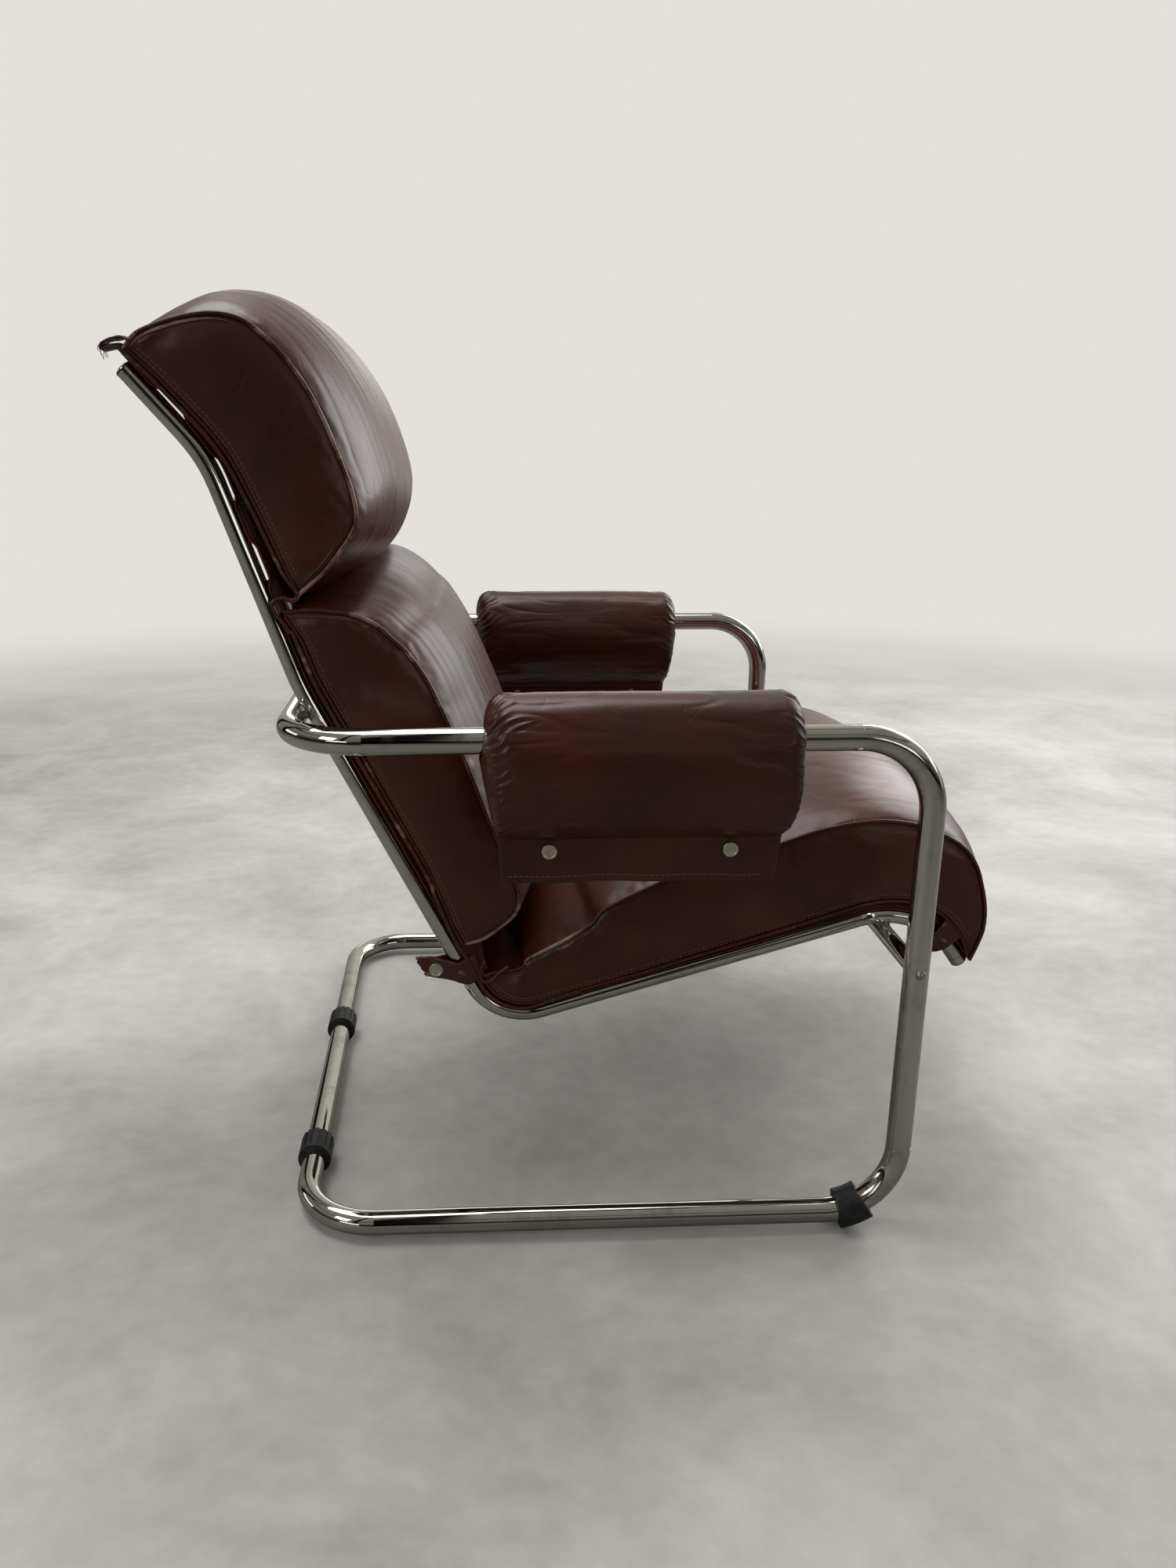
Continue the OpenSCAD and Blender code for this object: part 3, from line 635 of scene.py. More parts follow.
def sweep(
    name: str, paths: Iterable[Sequence[Vector]], radius: float, sides: int = 8, closed: bool = False
) -> Piece:
    """Sweeps a round section along paths in millimetres.

    Args:
        name: Name of the piece.
        paths: Points of each run.
        radius: Radius of the section.
        sides: Faces round the section, a multiple of four.
        closed: Whether each run joins its own start.

    Returns:
        The swept piece as a mesh.
    """
    curve = bpy.data.curves.new(name, "CURVE")
    curve.dimensions = "3D"
    curve.bevel_depth = radius * MM
    curve.bevel_resolution = max(0, sides // 4 - 1)
    curve.use_fill_caps = not closed
    for path in paths:
        spline = curve.splines.new("POLY")
        spline.points.add(len(path) - 1)
        for point, p in zip(spline.points, path):
            point.co = (*(p * MM), 1.0)
        spline.use_cyclic_u = closed
    holder = link_object(name, curve)
    mesh = bpy.data.meshes.new_from_object(holder.evaluated_get(bpy.context.evaluated_depsgraph_get()))
    bpy.data.objects.remove(holder)
    bpy.data.curves.remove(curve)
    mesh.name = name
    for polygon in mesh.polygons:
        polygon.use_smooth = True
    return link_object(name, mesh)


def surface_of(obj: Piece) -> BVHTree:
    """Search tree of a finished mesh, in metres."""
    faces = [tuple(p.vertices) for p in obj.data.polygons]
    return BVHTree.FromPolygons([v.co for v in obj.data.vertices], faces)


def dashes(path: Sequence[Vector], stitch: float, gap: float) -> Paths:
    """Cuts a path into stitches.

    Args:
        path: Points of the sewn line.
        stitch: Length of a stitch that shows.
        gap: Length of the leather between two stitches.

    Returns:
        One short run of points for each stitch.
    """
    reach = reach_of(path)

    def at(distance: float) -> Vector:
        """Place on the path at a distance from its start."""
        k = next((i for i, r in enumerate(reach[1:]) if r >= distance), len(path) - 2)
        return path[k].lerp(path[k + 1], (distance - reach[k]) / max(reach[k + 1] - reach[k], 1e-9))

    count = int((reach[-1] - stitch) / (stitch + gap))
    return [[at(i * (stitch + gap) + part * stitch) for part in (0, 0.5, 1)] for i in range(count)]


def unbroken(row: Sequence[Vector], longest: float = 22.0) -> Paths:
    """Parts a run of points wherever two of them lie further apart than longest."""
    runs: Paths = [[]]
    for point in row:
        if runs[-1] and (point - runs[-1][-1]).length > longest:
            runs.append([])
        runs[-1].append(point)
    return [run for run in runs if len(run) > 2]


def even_out(mesh: bpy.types.Mesh, moves: list[Vector], rounds: int = 6) -> list[Vector]:
    """Averages each vertex's move with its neighbours', so that filling leaves no sharp buckle.

    Args:
        mesh: The mesh whose edges join the vertices.
        moves: Move of each vertex.
        rounds: How often the moves are averaged.

    Returns:
        The evened moves; a vertex that didn't move stays.
    """
    still = [move.length < 1e-7 for move in moves]
    for _ in range(rounds):
        total = [move.copy() for move in moves]
        count = [1] * len(moves)
        for edge in mesh.edges:
            for a, b in (edge.vertices, reversed(edge.vertices)):
                total[a] += moves[b]
                count[a] += 1
        moves = [Vector() if rest else t / n for rest, t, n in zip(still, total, count)]
    return moves


def blow_up(
    obj: Piece, held: Callable[[Vertex], float], cap: float, slack: float, pressure: float = 4.0, frames: int = 20
) -> None:
    """Lets Blender's Cloth fill a closed leather form and keeps the result.

    Args:
        obj: The form, in metres.
        held: Weight from 0 to 1 with which a vertex is held in place.
        cap: Furthest that a vertex may move, in millimetres.
        slack: Share by which the leather is longer than the form.
        pressure: Cloth's pressure.
        frames: Steps of the simulation.
    """
    vertices = obj.data.vertices
    group = obj.vertex_groups.new(name="held")
    for vertex in vertices:
        group.add([vertex.index], held(vertex), "REPLACE")
    cloth = obj.modifiers.new("Cloth", "CLOTH")
    cloth.settings.quality = 5
    cloth.settings.use_pressure = True
    cloth.settings.uniform_pressure_force = pressure
    cloth.settings.effector_weights.gravity = 0
    cloth.settings.vertex_group_mass = group.name
    cloth.settings.shrink_min = -slack
    cloth.point_cache.frame_start = 1
    cloth.point_cache.frame_end = frames
    for step in range(1, frames + 1):
        bpy.context.scene.frame_set(step)
    graph = bpy.context.evaluated_depsgraph_get()
    filled = [v.co.copy() for v in obj.evaluated_get(graph).data.vertices]
    obj.modifiers.remove(cloth)
    bpy.context.scene.frame_set(1)
    furthest = 0.0
    for vertex, move in zip(vertices, even_out(obj.data, [co - v.co for v, co in zip(vertices, filled)])):
        furthest = max(furthest, move.length)
        if move.length > cap * MM:
            move = move.normalized() * cap * MM
        vertex.co = vertex.co + move
    obj.vertex_groups.remove(group)
    LOG.info("%s: filled, furthest move %.1f mm", obj.name, furthest / MM)


def round_off(obj: Piece) -> None:
    """Applies one round of subdivision to a soft piece."""
    modifier = obj.modifiers.new("Soften", "SUBSURF")
    modifier.levels = modifier.render_levels = 1
    mesh = bpy.data.meshes.new_from_object(obj.evaluated_get(bpy.context.evaluated_depsgraph_get()))
    obj.modifiers.remove(modifier)
    old, obj.data = obj.data, mesh
    name = old.name
    bpy.data.meshes.remove(old)
    mesh.name = name


def relief(obj: Piece, height: Callable[[Vertex], float]) -> None:
    """Moves a soft piece's surface outwards by a height in millimetres, which may be negative."""
    moves = [v.normal * (height(v) * MM) for v in obj.data.vertices]
    for vertex, move in zip(obj.data.vertices, moves):
        vertex.co = vertex.co + move


def leather_sheets(name: str, columns: int, rows: int, places: Iterable[Place], wall: float) -> Piece:
    """Makes a piece of flat sheets of leather, with half its thickness to each side.

    Args:
        name: Name of the piece.
        columns: Faces along the first share.
        rows: Faces along the second share.
        places: Gives the place of a vertex, for each sheet.
        wall: Thickness in millimetres.

    Returns:
        The linked piece.
    """
    bm = bmesh.new()
    for place in places:
        add_sheet(bm, columns, rows, place)
    bmesh.ops.recalc_face_normals(bm, faces=bm.faces)
    obj = new_object(name, bm)
    modifier = obj.modifiers.new("Leather thickness", "SOLIDIFY")
    modifier.thickness = wall * MM
    modifier.offset = 0.0
    return obj


def rub(obj: Piece, worn: Callable[[Vector], float]) -> Piece:
    """Keeps how worn a leather piece is at each place, given in millimetres."""
    wear = obj.data.attributes.new("wear", "FLOAT", "POINT")
    for vertex in obj.data.vertices:
        wear.data[vertex.index].value = max(0.0, worn(vertex.co / MM))
    return obj


# Cushions.


class Panel(Enum):
    """The pieces of leather that a cushion is sewn from."""

    FACE = 0
    RIGHT = 1
    LEFT = 2
    BASE = 3


@dataclass
class Cushion:
    """A leather cushion lying on the hide: a long face panel between two side panels.

    The outline is the seam of a side panel, as distance along the rail and height above
    its axis, from the base at the upper end over the face to the base at the lower end.
    The crowns are heights of the face's middle over it, by share of the outline's length.
    """

    name: str
    node: str
    outline: tuple[Point, ...]
    crowns: tuple[Point, ...]
    hem: tuple[Point, ...]
    ridges: tuple[Point, ...]
    worn_welt: tuple[Point, ...]
    columns: int
    seed: float
    welt_r: float = 2.1
    drawn_mm: float = 0.7
    creases: tuple[tuple[Point, ...], ...] = ()
    side_bulge: float = 7.0
    half_width: float = 267.0
    base: float = 22.2
    rows: int = 64
    panel_rows: int = 18
    slack: float = 0.006
    cap: float = 22.0
    hold: float = 9.0
    hem_lift: float = 0.5
    hem_out: float = 1.6
    seam: list[Vector] = field(default_factory=list)

    def __post_init__(self) -> None:
        """Divides the outline evenly."""
        self.seam = smooth_path(self.outline, self.columns)

    def _seam_at(self, u: float) -> Vector:
        """Outline's distance and height at share u."""
        return self.seam[min(self.columns, max(0, round(u * self.columns)))]

    def _outward(self, u: float) -> Vector:
        """Outward direction of the outline at share u, in distance and height."""
        k = round(u * self.columns)
        way = self.seam[min(k + 2, self.columns)] - self.seam[max(k - 2, 0)]
        return Vector((-way.y, way.x)).normalized()

    def _edge(self, u: float) -> Point:
        """Distance and height of the sewn edge below the outline at share u."""
        s = min(max(self._seam_at(u).x, self.seam[0].x), self.seam[-1].x)
        return s, interpolate(self.hem, s)

    def face_point(self, u: float, v: float) -> Vector:
        """Place on the face panel; u runs along it and v across the chair."""
        across = math.sin(math.pi * (v - 0.5))
        lift = (1 - abs(across) ** 2.6) ** 0.72
        p = self._seam_at(u) + self._outward(u) * interpolate(self.crowns, u) * lift
        return RAIL.point(p.x, p.y, self.half_width * across)

    def side_point(self, side: Side, u: float, w: float) -> Vector:
        """Place on a side panel; w runs from its sewn lower edge up to the seam."""
        s0, h0 = self._edge(u)
        p = self._seam_at(u)
        ends = smoothstep(0.0, 0.14, u) * smoothstep(0.0, 0.14, 1 - u)
        swell = self.side_bulge * ends * (4 * w * (1 - w)) ** 0.6
        s, h = s0 + (p.x - s0) * w, h0 + (p.y - h0) * w
        return RAIL.point(s, h, side.value * (self.half_width + swell))

    def base_point(self, u: float, v: float) -> Vector:
        """Place on the flat base that lies on the hide."""
        s, edge = self._edge(u)
        across = math.sin(math.pi * (v - 0.5))
        h = self.base + (edge - self.base) * smoothstep(0.94, 1.0, abs(across))
        return RAIL.point(s, h, self.half_width * across)

    def build(self) -> Piece:
        """Sews the panels, fills the cover and works its folds in."""
        bm = bmesh.new()
        bm.verts.layers.int.new("panel")
        add_sheet(bm, self.columns, self.rows, self.face_point, Panel.FACE.value)
        for side, panel in ((Side.RIGHT, Panel.RIGHT), (Side.LEFT, Panel.LEFT)):
            add_sheet(bm, self.columns, self.panel_rows, partial(self.side_point, side), panel.value)
        add_sheet(bm, self.columns, self.rows, self.base_point, Panel.BASE.value)
        close_mesh(bm)
        obj = new_object(self.name, bm)
        panel_of = obj.data.attributes["panel"].data
        find = nearest(self._seam_places(with_edge=True))

        def held(vertex: Vertex) -> float:
            """Base and seams are held; the panels are free."""
            if panel_of[vertex.index].value == Panel.BASE.value:
                return 1.0
            return max(0.0, 1.0 - find(vertex.co)[2] / (self.hold * MM))

        blow_up(obj, held, self.cap, self.slack)
        round_off(obj)
        self._work_folds(obj)
        return obj

    def _seam_places(self, with_edge: bool = False) -> list[Vector]:
        """Places on the side seams in metres, and on the side panels' lower edges if asked for."""
        marks: list[Sequence[float]] = [
            a.lerp(b, k / 3) for a, b in zip(self.seam, self.seam[1:]) for k in range(3)
        ]
        if with_edge:
            marks += [self._edge(k / self.columns) for k in range(self.columns + 1)]
        return [RAIL.point(*mark, side.value * self.half_width) * MM for side in Side for mark in marks]

    def _work_folds(self, obj: Piece) -> None:
        """Adds the hide's slack: long creases on the face and puckers beside the seams."""
        seams = nearest(self._seam_places())
        panel_of = obj.data.attributes["panel"].data
        marks = [Vector((*p, 0)) for line in self.creases for p in smooth_path(line, 60)]
        lines = nearest(marks)

        def height(vertex: Vertex) -> float:
            """Outward move of a vertex in millimetres."""
            if panel_of[vertex.index].value == Panel.BASE.value:
                return 0.0
            p = vertex.co / MM
            near = seams(vertex.co)[2] / MM
            rise = smoothstep(2, 30, near)
            move = 1.8 * ripple(p, 170, 110, 170, shift=(self.seed, 0, 0)) * rise
            if abs(p.y) < self.half_width - 2:
                drawn = ripple(p, 230, 15, 230, shift=(3.1, self.seed, 0))
                move -= self.drawn_mm * (1 - min(1.0, 3.2 * abs(drawn))) * rise
                if marks:
                    _, index, off = lines(Vector((p.x, p.y, 0)))
                    share = (index % 61) / 60
                    ends = smoothstep(0, 0.2, share) * smoothstep(1, 0.8, share)
                    move -= 1.5 * math.exp(-((off / 2.6) ** 2)) * ends
            pucker = ripple(p, 10, 16, 10, shift=(0, 7.7, self.seed))
            return move + 0.8 * pucker * smoothstep(1, 6, near) * smoothstep(26, 8, near)

        relief(obj, height)

    def welt_paths(self) -> Paths:
        """Runs of the raised seam round each side panel."""
        places = [p + self._outward(k / self.columns) * 0.8 for k, p in enumerate(self.seam)]
        return [[RAIL.point(q.x, q.y, side.value * (self.half_width + 1.4)) for q in places] for side in Side]

    def _on_panel(self, surface: BVHTree, side: Side, s: float, h: float, lift: float) -> list[Vector]:
        """Finds a place on a finished side panel.

        Args:
            surface: The finished cover, in metres.
            side: Side of the panel.
            s: Distance along the rail.
            h: Height above its axis.
            lift: How far the place stands out from the leather, in millimetres.

        Returns:
            The place in millimetres, or nothing where the panel has ended.
        """
        away = Vector((0, side.value, 0))
        hit = surface.ray_cast(RAIL.point(s, h, side.value * (self.half_width + 40)) * MM, -away)[0]
        if hit is None or abs(hit.y) <= (self.half_width - 8) * MM:
            return []
        return [hit / MM + away * lift]

    def ridge_paths(self, surface: BVHTree) -> Paths:
        """Runs of the second ridge beside the welt, where the seam allowance shows through."""
        runs = []
        for side in Side:
            for low, high in self.ridges:
                run = []
                for k in range(max(1, round(low * self.columns)), round(high * self.columns)):
                    q = self.seam[k] - self._outward(k / self.columns) * 5.2
                    run += self._on_panel(surface, side, q.x, q.y, -0.4)
                runs += unbroken(run)
        return runs

    def hem_paths(self) -> Paths:
        """Runs of the rolled edge where a side panel meets the hide, one for each side."""
        runs = []
        for side in Side:
            run: list[Vector] = []
            for k in range(2, self.columns - 1):
                s, h = self._edge(k / self.columns)
                place = RAIL.point(s, h + self.hem_lift, side.value * (self.half_width + self.hem_out))
                if not run or (run[-1] - place).length > 2:
                    run.append(place)
            runs.append(run)
        return runs

    def seam_rows(self, surface: BVHTree) -> Paths:
        """Stitches of the two sewn rows along each side panel's lower edge."""
        stitches = []
        first = min(self.seam[0].x, self.seam[-1].x) + 6
        for side in Side:
            for inset in (4.5, 8.5):
                row = []
                for k in range(4, self.columns - 3):
                    s, h = self._edge(k / self.columns)
                    if s >= first:
                        row += self._on_panel(surface, side, s, h + inset, 0.25)
                for run in unbroken(row):
                    stitches += dashes(run, 3.2, 1.8)
        return stitches

    def dress(self, finishes: Finishes) -> None:
        body = finish_piece(self.build(), finishes.leather, self.node)
        surface = surface_of(body)
        find = nearest([RAIL.point(p.x, p.y, 0) for p in self.seam])
        plain = ((0.0, 0.1), (1.0, 0.1))
        for word, paths, radius, sides, path in (
            ("welt", self.welt_paths(), self.welt_r, 12, self.worn_welt),
            ("hem", self.hem_paths(), 2.0, 8, plain),
            ("ridge", self.ridge_paths(surface), 1.4, 8, plain),
        ):
            piece = sweep(f"{self.name}_{word}", paths, radius, sides)

            def worn(p: Vector, path: Sequence[Point] = path) -> float:
                """Wear in spots, and by share of the outline."""
                u = find(Vector((p.x, 0, p.z)))[1] / self.columns
                return interpolate(path, u) + 0.7 * (noise.noise(p / 38) + 0.4 * noise.noise(p / 9))

            finish_piece(rub(piece, worn), finishes.leather)
        finish_piece(sweep(f"{self.name}_stitches", self.seam_rows(surface), 0.45, 4), finishes.thread)


# Arm pads.


@dataclass
class ArmPad:
    """A padded leather sleeve round an arm, closed below by a studded, stitched flap."""

    side: Side
    middle_x: float = 38.1
    arm_y: float = 357.0
    arm_z: float = 528.75
    length: float = 262.0
    flare: float = 15.0
    radius: float = 44.0
    neck: float = 97.0
    drop: float = 140.0
    flap_t: float = 5.0
    bore_r: float = 13.1
    mouth_r: float = 15.0
    end_depth: float = 19.0
    pleat_mm: float = 9.5
    pleat: float = 1.9
    belly: tuple[Point, ...] = (
        (0.0, 1.0), (0.25, 1.0), (0.42, 0.975), (0.56, 0.92), (0.68, 0.82), (0.77, 0.68), (0.84, 0.5),
        (0.89, 0.33), (0.93, 0.2), (0.965, 0.11), (1.0, 0.065),
    )
    columns: int = 72
    rows: int = 148

    def _section(self, a: float) -> Vector:
        """Outline in Y and Z about the arm, at share a from the neck up the outer side and down."""
        turn = 2 * math.pi * a - math.pi / 2
        c, s = math.cos(turn), math.sin(turn)
        if s >= 0:
            return Vector((self.radius * c, self.radius * s * 1.03))
        return Vector((math.copysign(self.radius * interpolate(self.belly, -s), c), self.neck * s))

    def cover_point(self, v: float, a: float) -> Vector:
        """Place on the sleeve's outside; v runs along the arm, a round it."""
        t = 2 * v - 1
        reach = self.length / 2
        p = self._section(a)
        depth = self.end_depth * (1 - 0.72 * smoothstep(0, -60, p.y))
        inset = min(1.0, (1 - abs(t)) * reach / depth)
        full = math.sqrt(max(0.0, 1 - (1 - inset) ** 2))
        q = (p.normalized() * self.mouth_r).lerp(p, full)
        widen = 1 + self.flare / reach * min(1.0, max(0.0, 1 + q.y / self.drop))
        x = self.middle_x + t * reach * widen
        return Vector((x, self.side.value * (self.arm_y + q.x), self.arm_z + q.y))

    def bore_point(self, v: float, a: float) -> Vector:
        """Place on the lining that lies round the arm."""
        way = self._section(a).normalized()
        share = math.sin(math.pi * (v - 0.5))
        r = self.mouth_r + (self.bore_r - self.mouth_r) * (1 - share**8)
        x = self.middle_x + share * (self.length / 2 + self.flare)
        return Vector((x, self.side.value * (self.arm_y + r * way.x), self.arm_z + r * way.y))

    def build(self) -> Piece:
        """Sews the sleeve, fills it and gathers its ends."""
        bm = bmesh.new()
        bm.verts.layers.int.new("panel")

        def spread(v: float) -> float:
            """Packs the columns closer towards the sleeve's ends."""
            return 0.5 + 0.5 * math.sin(math.pi * (v - 0.5)) * 0.35 + 0.65 * (v - 0.5)

        add_sheet(bm, self.columns, self.rows, lambda v, a: self.cover_point(spread(v), a), 0)
        add_sheet(bm, 14, self.rows, self.bore_point, 1)
        close_mesh(bm)
        obj = new_object(f"arm_pad_cover_{self.side.word}", bm)
        panel_of = obj.data.attributes["panel"].data
        low = (self.arm_z - self.neck + 3) * MM
        blow_up(obj, lambda v: float(panel_of[v.index].value == 1 or v.co.z < low), 7, 0.015, pressure=3.0)
        round_off(obj)
        self._gather(obj)
        return obj

    def _gather(self, obj: Piece) -> None:
        """Works the slanting pleats of both ends and a few long creases in."""
        reach = self.length / 2 + self.flare
        panel_of = obj.data.attributes["panel"].data
        sign = self.side.value

        def height(vertex: Vertex) -> float:
            """Outward move of a vertex in millimetres."""
            if panel_of[vertex.index].value == 1:
                return 0.0
            p = vertex.co / MM
            y, z = p.y * sign - self.arm_y, p.z - self.arm_z
            to_end = reach - abs(p.x - self.middle_x)
            round_arm = self.radius * math.atan2(z, abs(y)) if z > 0 else z
            end = 1.0 if p.x > self.middle_x else -1.0
            wander = noise.noise(Vector((round_arm / 24, to_end / 40, end * 4.0 + sign * 9.0)))
            phase = math.pi * (round_arm - 0.7 * to_end) / self.pleat_mm + 2.6 * wander
            ridge = 1 - 2 * abs(math.sin(phase)) ** 0.75
            strong = max(0.15, 0.75 + 1.1 * noise.noise(Vector((round_arm / 17, end * 7.0, sign * 3.0))))
            deep, far = (1.0, 46) if end < 0 else (0.5, 30)
            ends = smoothstep(far * strong, 5, to_end) * smoothstep(-2, 7, to_end)
            lines = abs(ripple(p, 75, 30, 17, shift=(0, 0, sign)))
            fan = (1 - min(1.0, 4.5 * lines)) * smoothstep(10, 30, to_end) * smoothstep(150, 60, to_end)
            rise = smoothstep(-self.neck - 2, -self.neck + 22, z)
            pleats = self.pleat * deep * strong * ridge * ends * (0.35 + 0.65 * rise)
            return rise * (0.9 * ripple(p, 90, 50, 50) - 0.7 * fan) + pleats

        relief(obj, height)

    def _waves(self, x: float, share: float) -> tuple[float, float]:
        """Waves of the flap in Y and Z at a distance from its middle, by share of their height."""
        wave = 2.0 * noise.noise(Vector((x / 55, self.side.value * 5.0, 0.4))) * share
        return wave, 2.4 * noise.noise(Vector((x / 70, self.side.value * 2.0, 8.0))) * share

    def flap(self) -> Piece:
        """Builds the flat double flap under the sleeve, thinner at its edge and wavy."""
        bm = bmesh.new()
        top, low = -self.neck + 9, -self.drop

        def place(face: float, u: float, w: float) -> Vector:
            """Place on the inner or outer face of the flap."""
            z = low + (top - low) * w
            x = (u * 2 - 1) * (self.length / 2 + self.flare * max(0.0, 1 + z / self.drop) * 0.9)
            across, up = self._waves(x, 1 - w)
            edge = 0.75 if u in (0.0, 1.0) else 1.0
            thick = self.flap_t * (0.42 + 0.58 * smoothstep(0.0, 0.5, w)) * edge
            y = self.arm_y + face * thick / 2 + across
            return Vector((self.middle_x + x, self.side.value * y, self.arm_z + z + up))

        for face in (1.0, -1.0):
            add_sheet(bm, 60, 12, partial(place, face))
        bmesh.ops.bridge_loops(bm, edges=[e for e in bm.edges if e.is_boundary])
        bmesh.ops.recalc_face_normals(bm, faces=bm.faces)
        obj = new_object(f"arm_pad_flap_{self.side.word}", bm)
        round_off(obj)
        return obj

    def stitches(self) -> Piece:
        """Sews the row of stitches above the flap's lower edge, on both faces."""
        half = self.length / 2 - 6
        runs = []
        for face in (1.0, -1.0):
            row = []
            for k in range(61):
                x = -half + 2 * half * k / 60
                across, up = self._waves(x, 0.86)
                y = self.arm_y + face * (self.flap_t * 0.30 + 0.3) + across
                z = self.arm_z - self.drop + 7.5 + up
                row.append(Vector((self.middle_x + x, self.side.value * y, z)))
            runs += dashes(row, 3.6, 1.6)
        return sweep(f"arm_pad_stitches_{self.side.word}", runs, 0.65, 4)

    def dress(self, finishes: Finishes) -> None:
        cover = finish_piece(self.build(), finishes.leather, f"arm_pad_{self.side.word}")
        finish_piece(self.flap(), finishes.leather)
        finish_piece(self.stitches(), finishes.thread)


# Hide.


@dataclass
class Hide:
    """The long leather hide that lies on the webbing, its long edges sewn to the cushions.

    The drop is the height to which its turned-down edge reaches, with slits beside the head.
    """

    start: float = -8.0
    half_width: float = 265.0
    height: float = 19.9
    thickness: float = 2.2
    columns: int = 300
    rows: int = 48
    drop: tuple[Point, ...] = (
        (-8, 9.2), (30, 9.2), (38, 13.5), (66, 13.5), (74, 9.2), (104, 9.2), (112, 13.5), (146, 13.5),
        (154, 9.2), (186, 9.2), (194, 14), (226, 14), (236, 9), (1290, 8.8),
    )

    def place(self, u: float, v: float) -> Vector:
        """Place on the hide; u runs along the rails and v across them."""
        s = self.start + (RAIL.length - self.start) * u
        across = math.sin(math.pi * (v - 0.5))
        edge = smoothstep(0.972, 1.0, abs(across))
        h = self.height + (interpolate(self.drop, s) - self.height) * edge
        return RAIL.point(s, h, self.half_width * across)

    def dress(self, finishes: Finishes) -> None:
        obj = leather_sheets("hide_sheet", self.columns, self.rows, [self.place], self.thickness)
        finish_piece(obj, finishes.leather, "leather_hide")
        length = (RAIL.length - self.start) * MM


@dataclass
class EdgePiping:
    """The hide's long edges, rolled over a cord and folded back on themselves at two places.

    Between the headrest and the back the edge swings to the rail in an S, and before the
    seat's rear it turns up into a curl. The edge's places are distance along the rail and
    height above its axis; the curl's are X and Z.
    """

    edge: tuple[Point, ...] = (
        (-12, 11), (0, 12), (26, 14), (88, 16), (140, 21), (172, 24), (203, 26), (227, 28), (240, 31.5),
        (248, 33.5), (252.5, 30.5), (252, 25), (248, 20), (246.5, 14), (248, 8.8), (253, 7.2), (262, 8.2),
        (270, 10.5), (280, 13), (294, 15.5), (420, 16), (556, 17.5), (584, 14.5), (607, 12.5), (621, 10.5),
        (640, 9.8), (670, 10.5), (682, 10), (699, 10), (734, 10), (770, 11), (800, 13.5), (830, 15),
    )
    curl: tuple[Point, ...] = (
        (-108.6, 267.5), (-112.6, 259.5), (-113.4, 252.8), (-111.4, 247.0), (-107.0, 244.6), (-101.9, 246.2),
        (-97.8, 249.7), (-92.0, 255.9), (-84.0, 261.8),
    )
    edge_y: float = 270.2
    curl_y: float = 269.6
    edge_r: float = 2.1
    curl_r: float = 2.3

    def dress(self, finishes: Finishes) -> None:
        """Builds both edges and both curls."""
        edge, curl = smooth_path(self.edge, 420), smooth_path(self.curl, 40)
        edges = [[RAIL.point(p.x, p.y, side.value * self.edge_y) for p in edge] for side in Side]
        curls = [[Vector((p.x, side.value * self.curl_y, p.y)) for p in curl] for side in Side]
        for name, runs, radius, level in (
            ("hide_edge_piping", edges, self.edge_r, 0.22), ("seat_welt_curl", curls, self.curl_r, 0.5)
        ):
            worn = lambda p, low=level: low + 0.7 * noise.noise(p / 30) + 0.3 * noise.noise(p / 7)
            finish_piece(rub(sweep(name, runs, radius, 12), worn), finishes.leather)


# Straps and tabs.


@dataclass
class LoopStrap:
    """A strap that hangs from the hide: two legs round the rail meet in a studded tail."""

    node: str
    side: Side
    s: float
    tail: float
    lean: float = 0.0
    width: float = 22.0
    stand_off: float = 12.2
    thickness: float = 2.3
    ragged: float = 1.6
    tail_half: float = 1.2

    def leg_path(self) -> list[Vector]:
        """Places of a leg as height above the rail's axis and distance beside it."""
        r = self.stand_off
        return smooth_path(
            (
                (19.0, r * 0.86), (9.0, r + 0.6), (0.0, r + 0.8), (-0.62 * r, r * 0.86), (-r - 1.5, 0.5 * r),
                (-r - 0.32 * self.tail, 0.16 * r), (-r - 0.55 * self.tail, self.tail_half),
                (-r - self.tail, self.tail_half),
            ),
            44,
        )

    def dress(self, finishes: Finishes) -> None:
        """Builds both legs with worn, ragged edges."""
        path = self.leg_path()
        seed = self.s + 7 * self.side.value

        def place(leg: float, u: float, w: float) -> Vector:
            """Place on one leg; u runs from the hide to the tail's tip, w across the strap."""
            p = along(path, u)
            tip = smoothstep(0.72, 1.0, u)
            narrow = self.width * (1.0 - 0.1 * tip)
            frayed = self.ragged * noise.noise(Vector((u * 9, 3 * round(w), seed))) * (0.4 + tip)
            s = self.s + (w - 0.5) * narrow + self.lean * min(0.0, p.x) + frayed
            loose = smoothstep(0.05, 0.3, u) * (1 - tip)
            wave = 1.1 * noise.noise(Vector((u * 5, w * 1.5, seed + leg))) * loose
            cut = self.ragged * 1.6 * noise.noise(Vector((w * 7, seed, leg))) * tip * tip
            return RAIL.point(s, p.x + cut, self.side.value * (RAIL_Y + leg * (p.y + wave)))

        legs = [partial(place, leg) for leg in (1.0, -1.0)]
        obj = leather_sheets(f"{self.node}_leather", 44, 10, legs, self.thickness)
        rub(obj, lambda p: 0.12 + 0.75 * noise.noise(p / 9 + Vector((seed, 0, 0))))
        finish_piece(obj, finishes.leather, self.node)


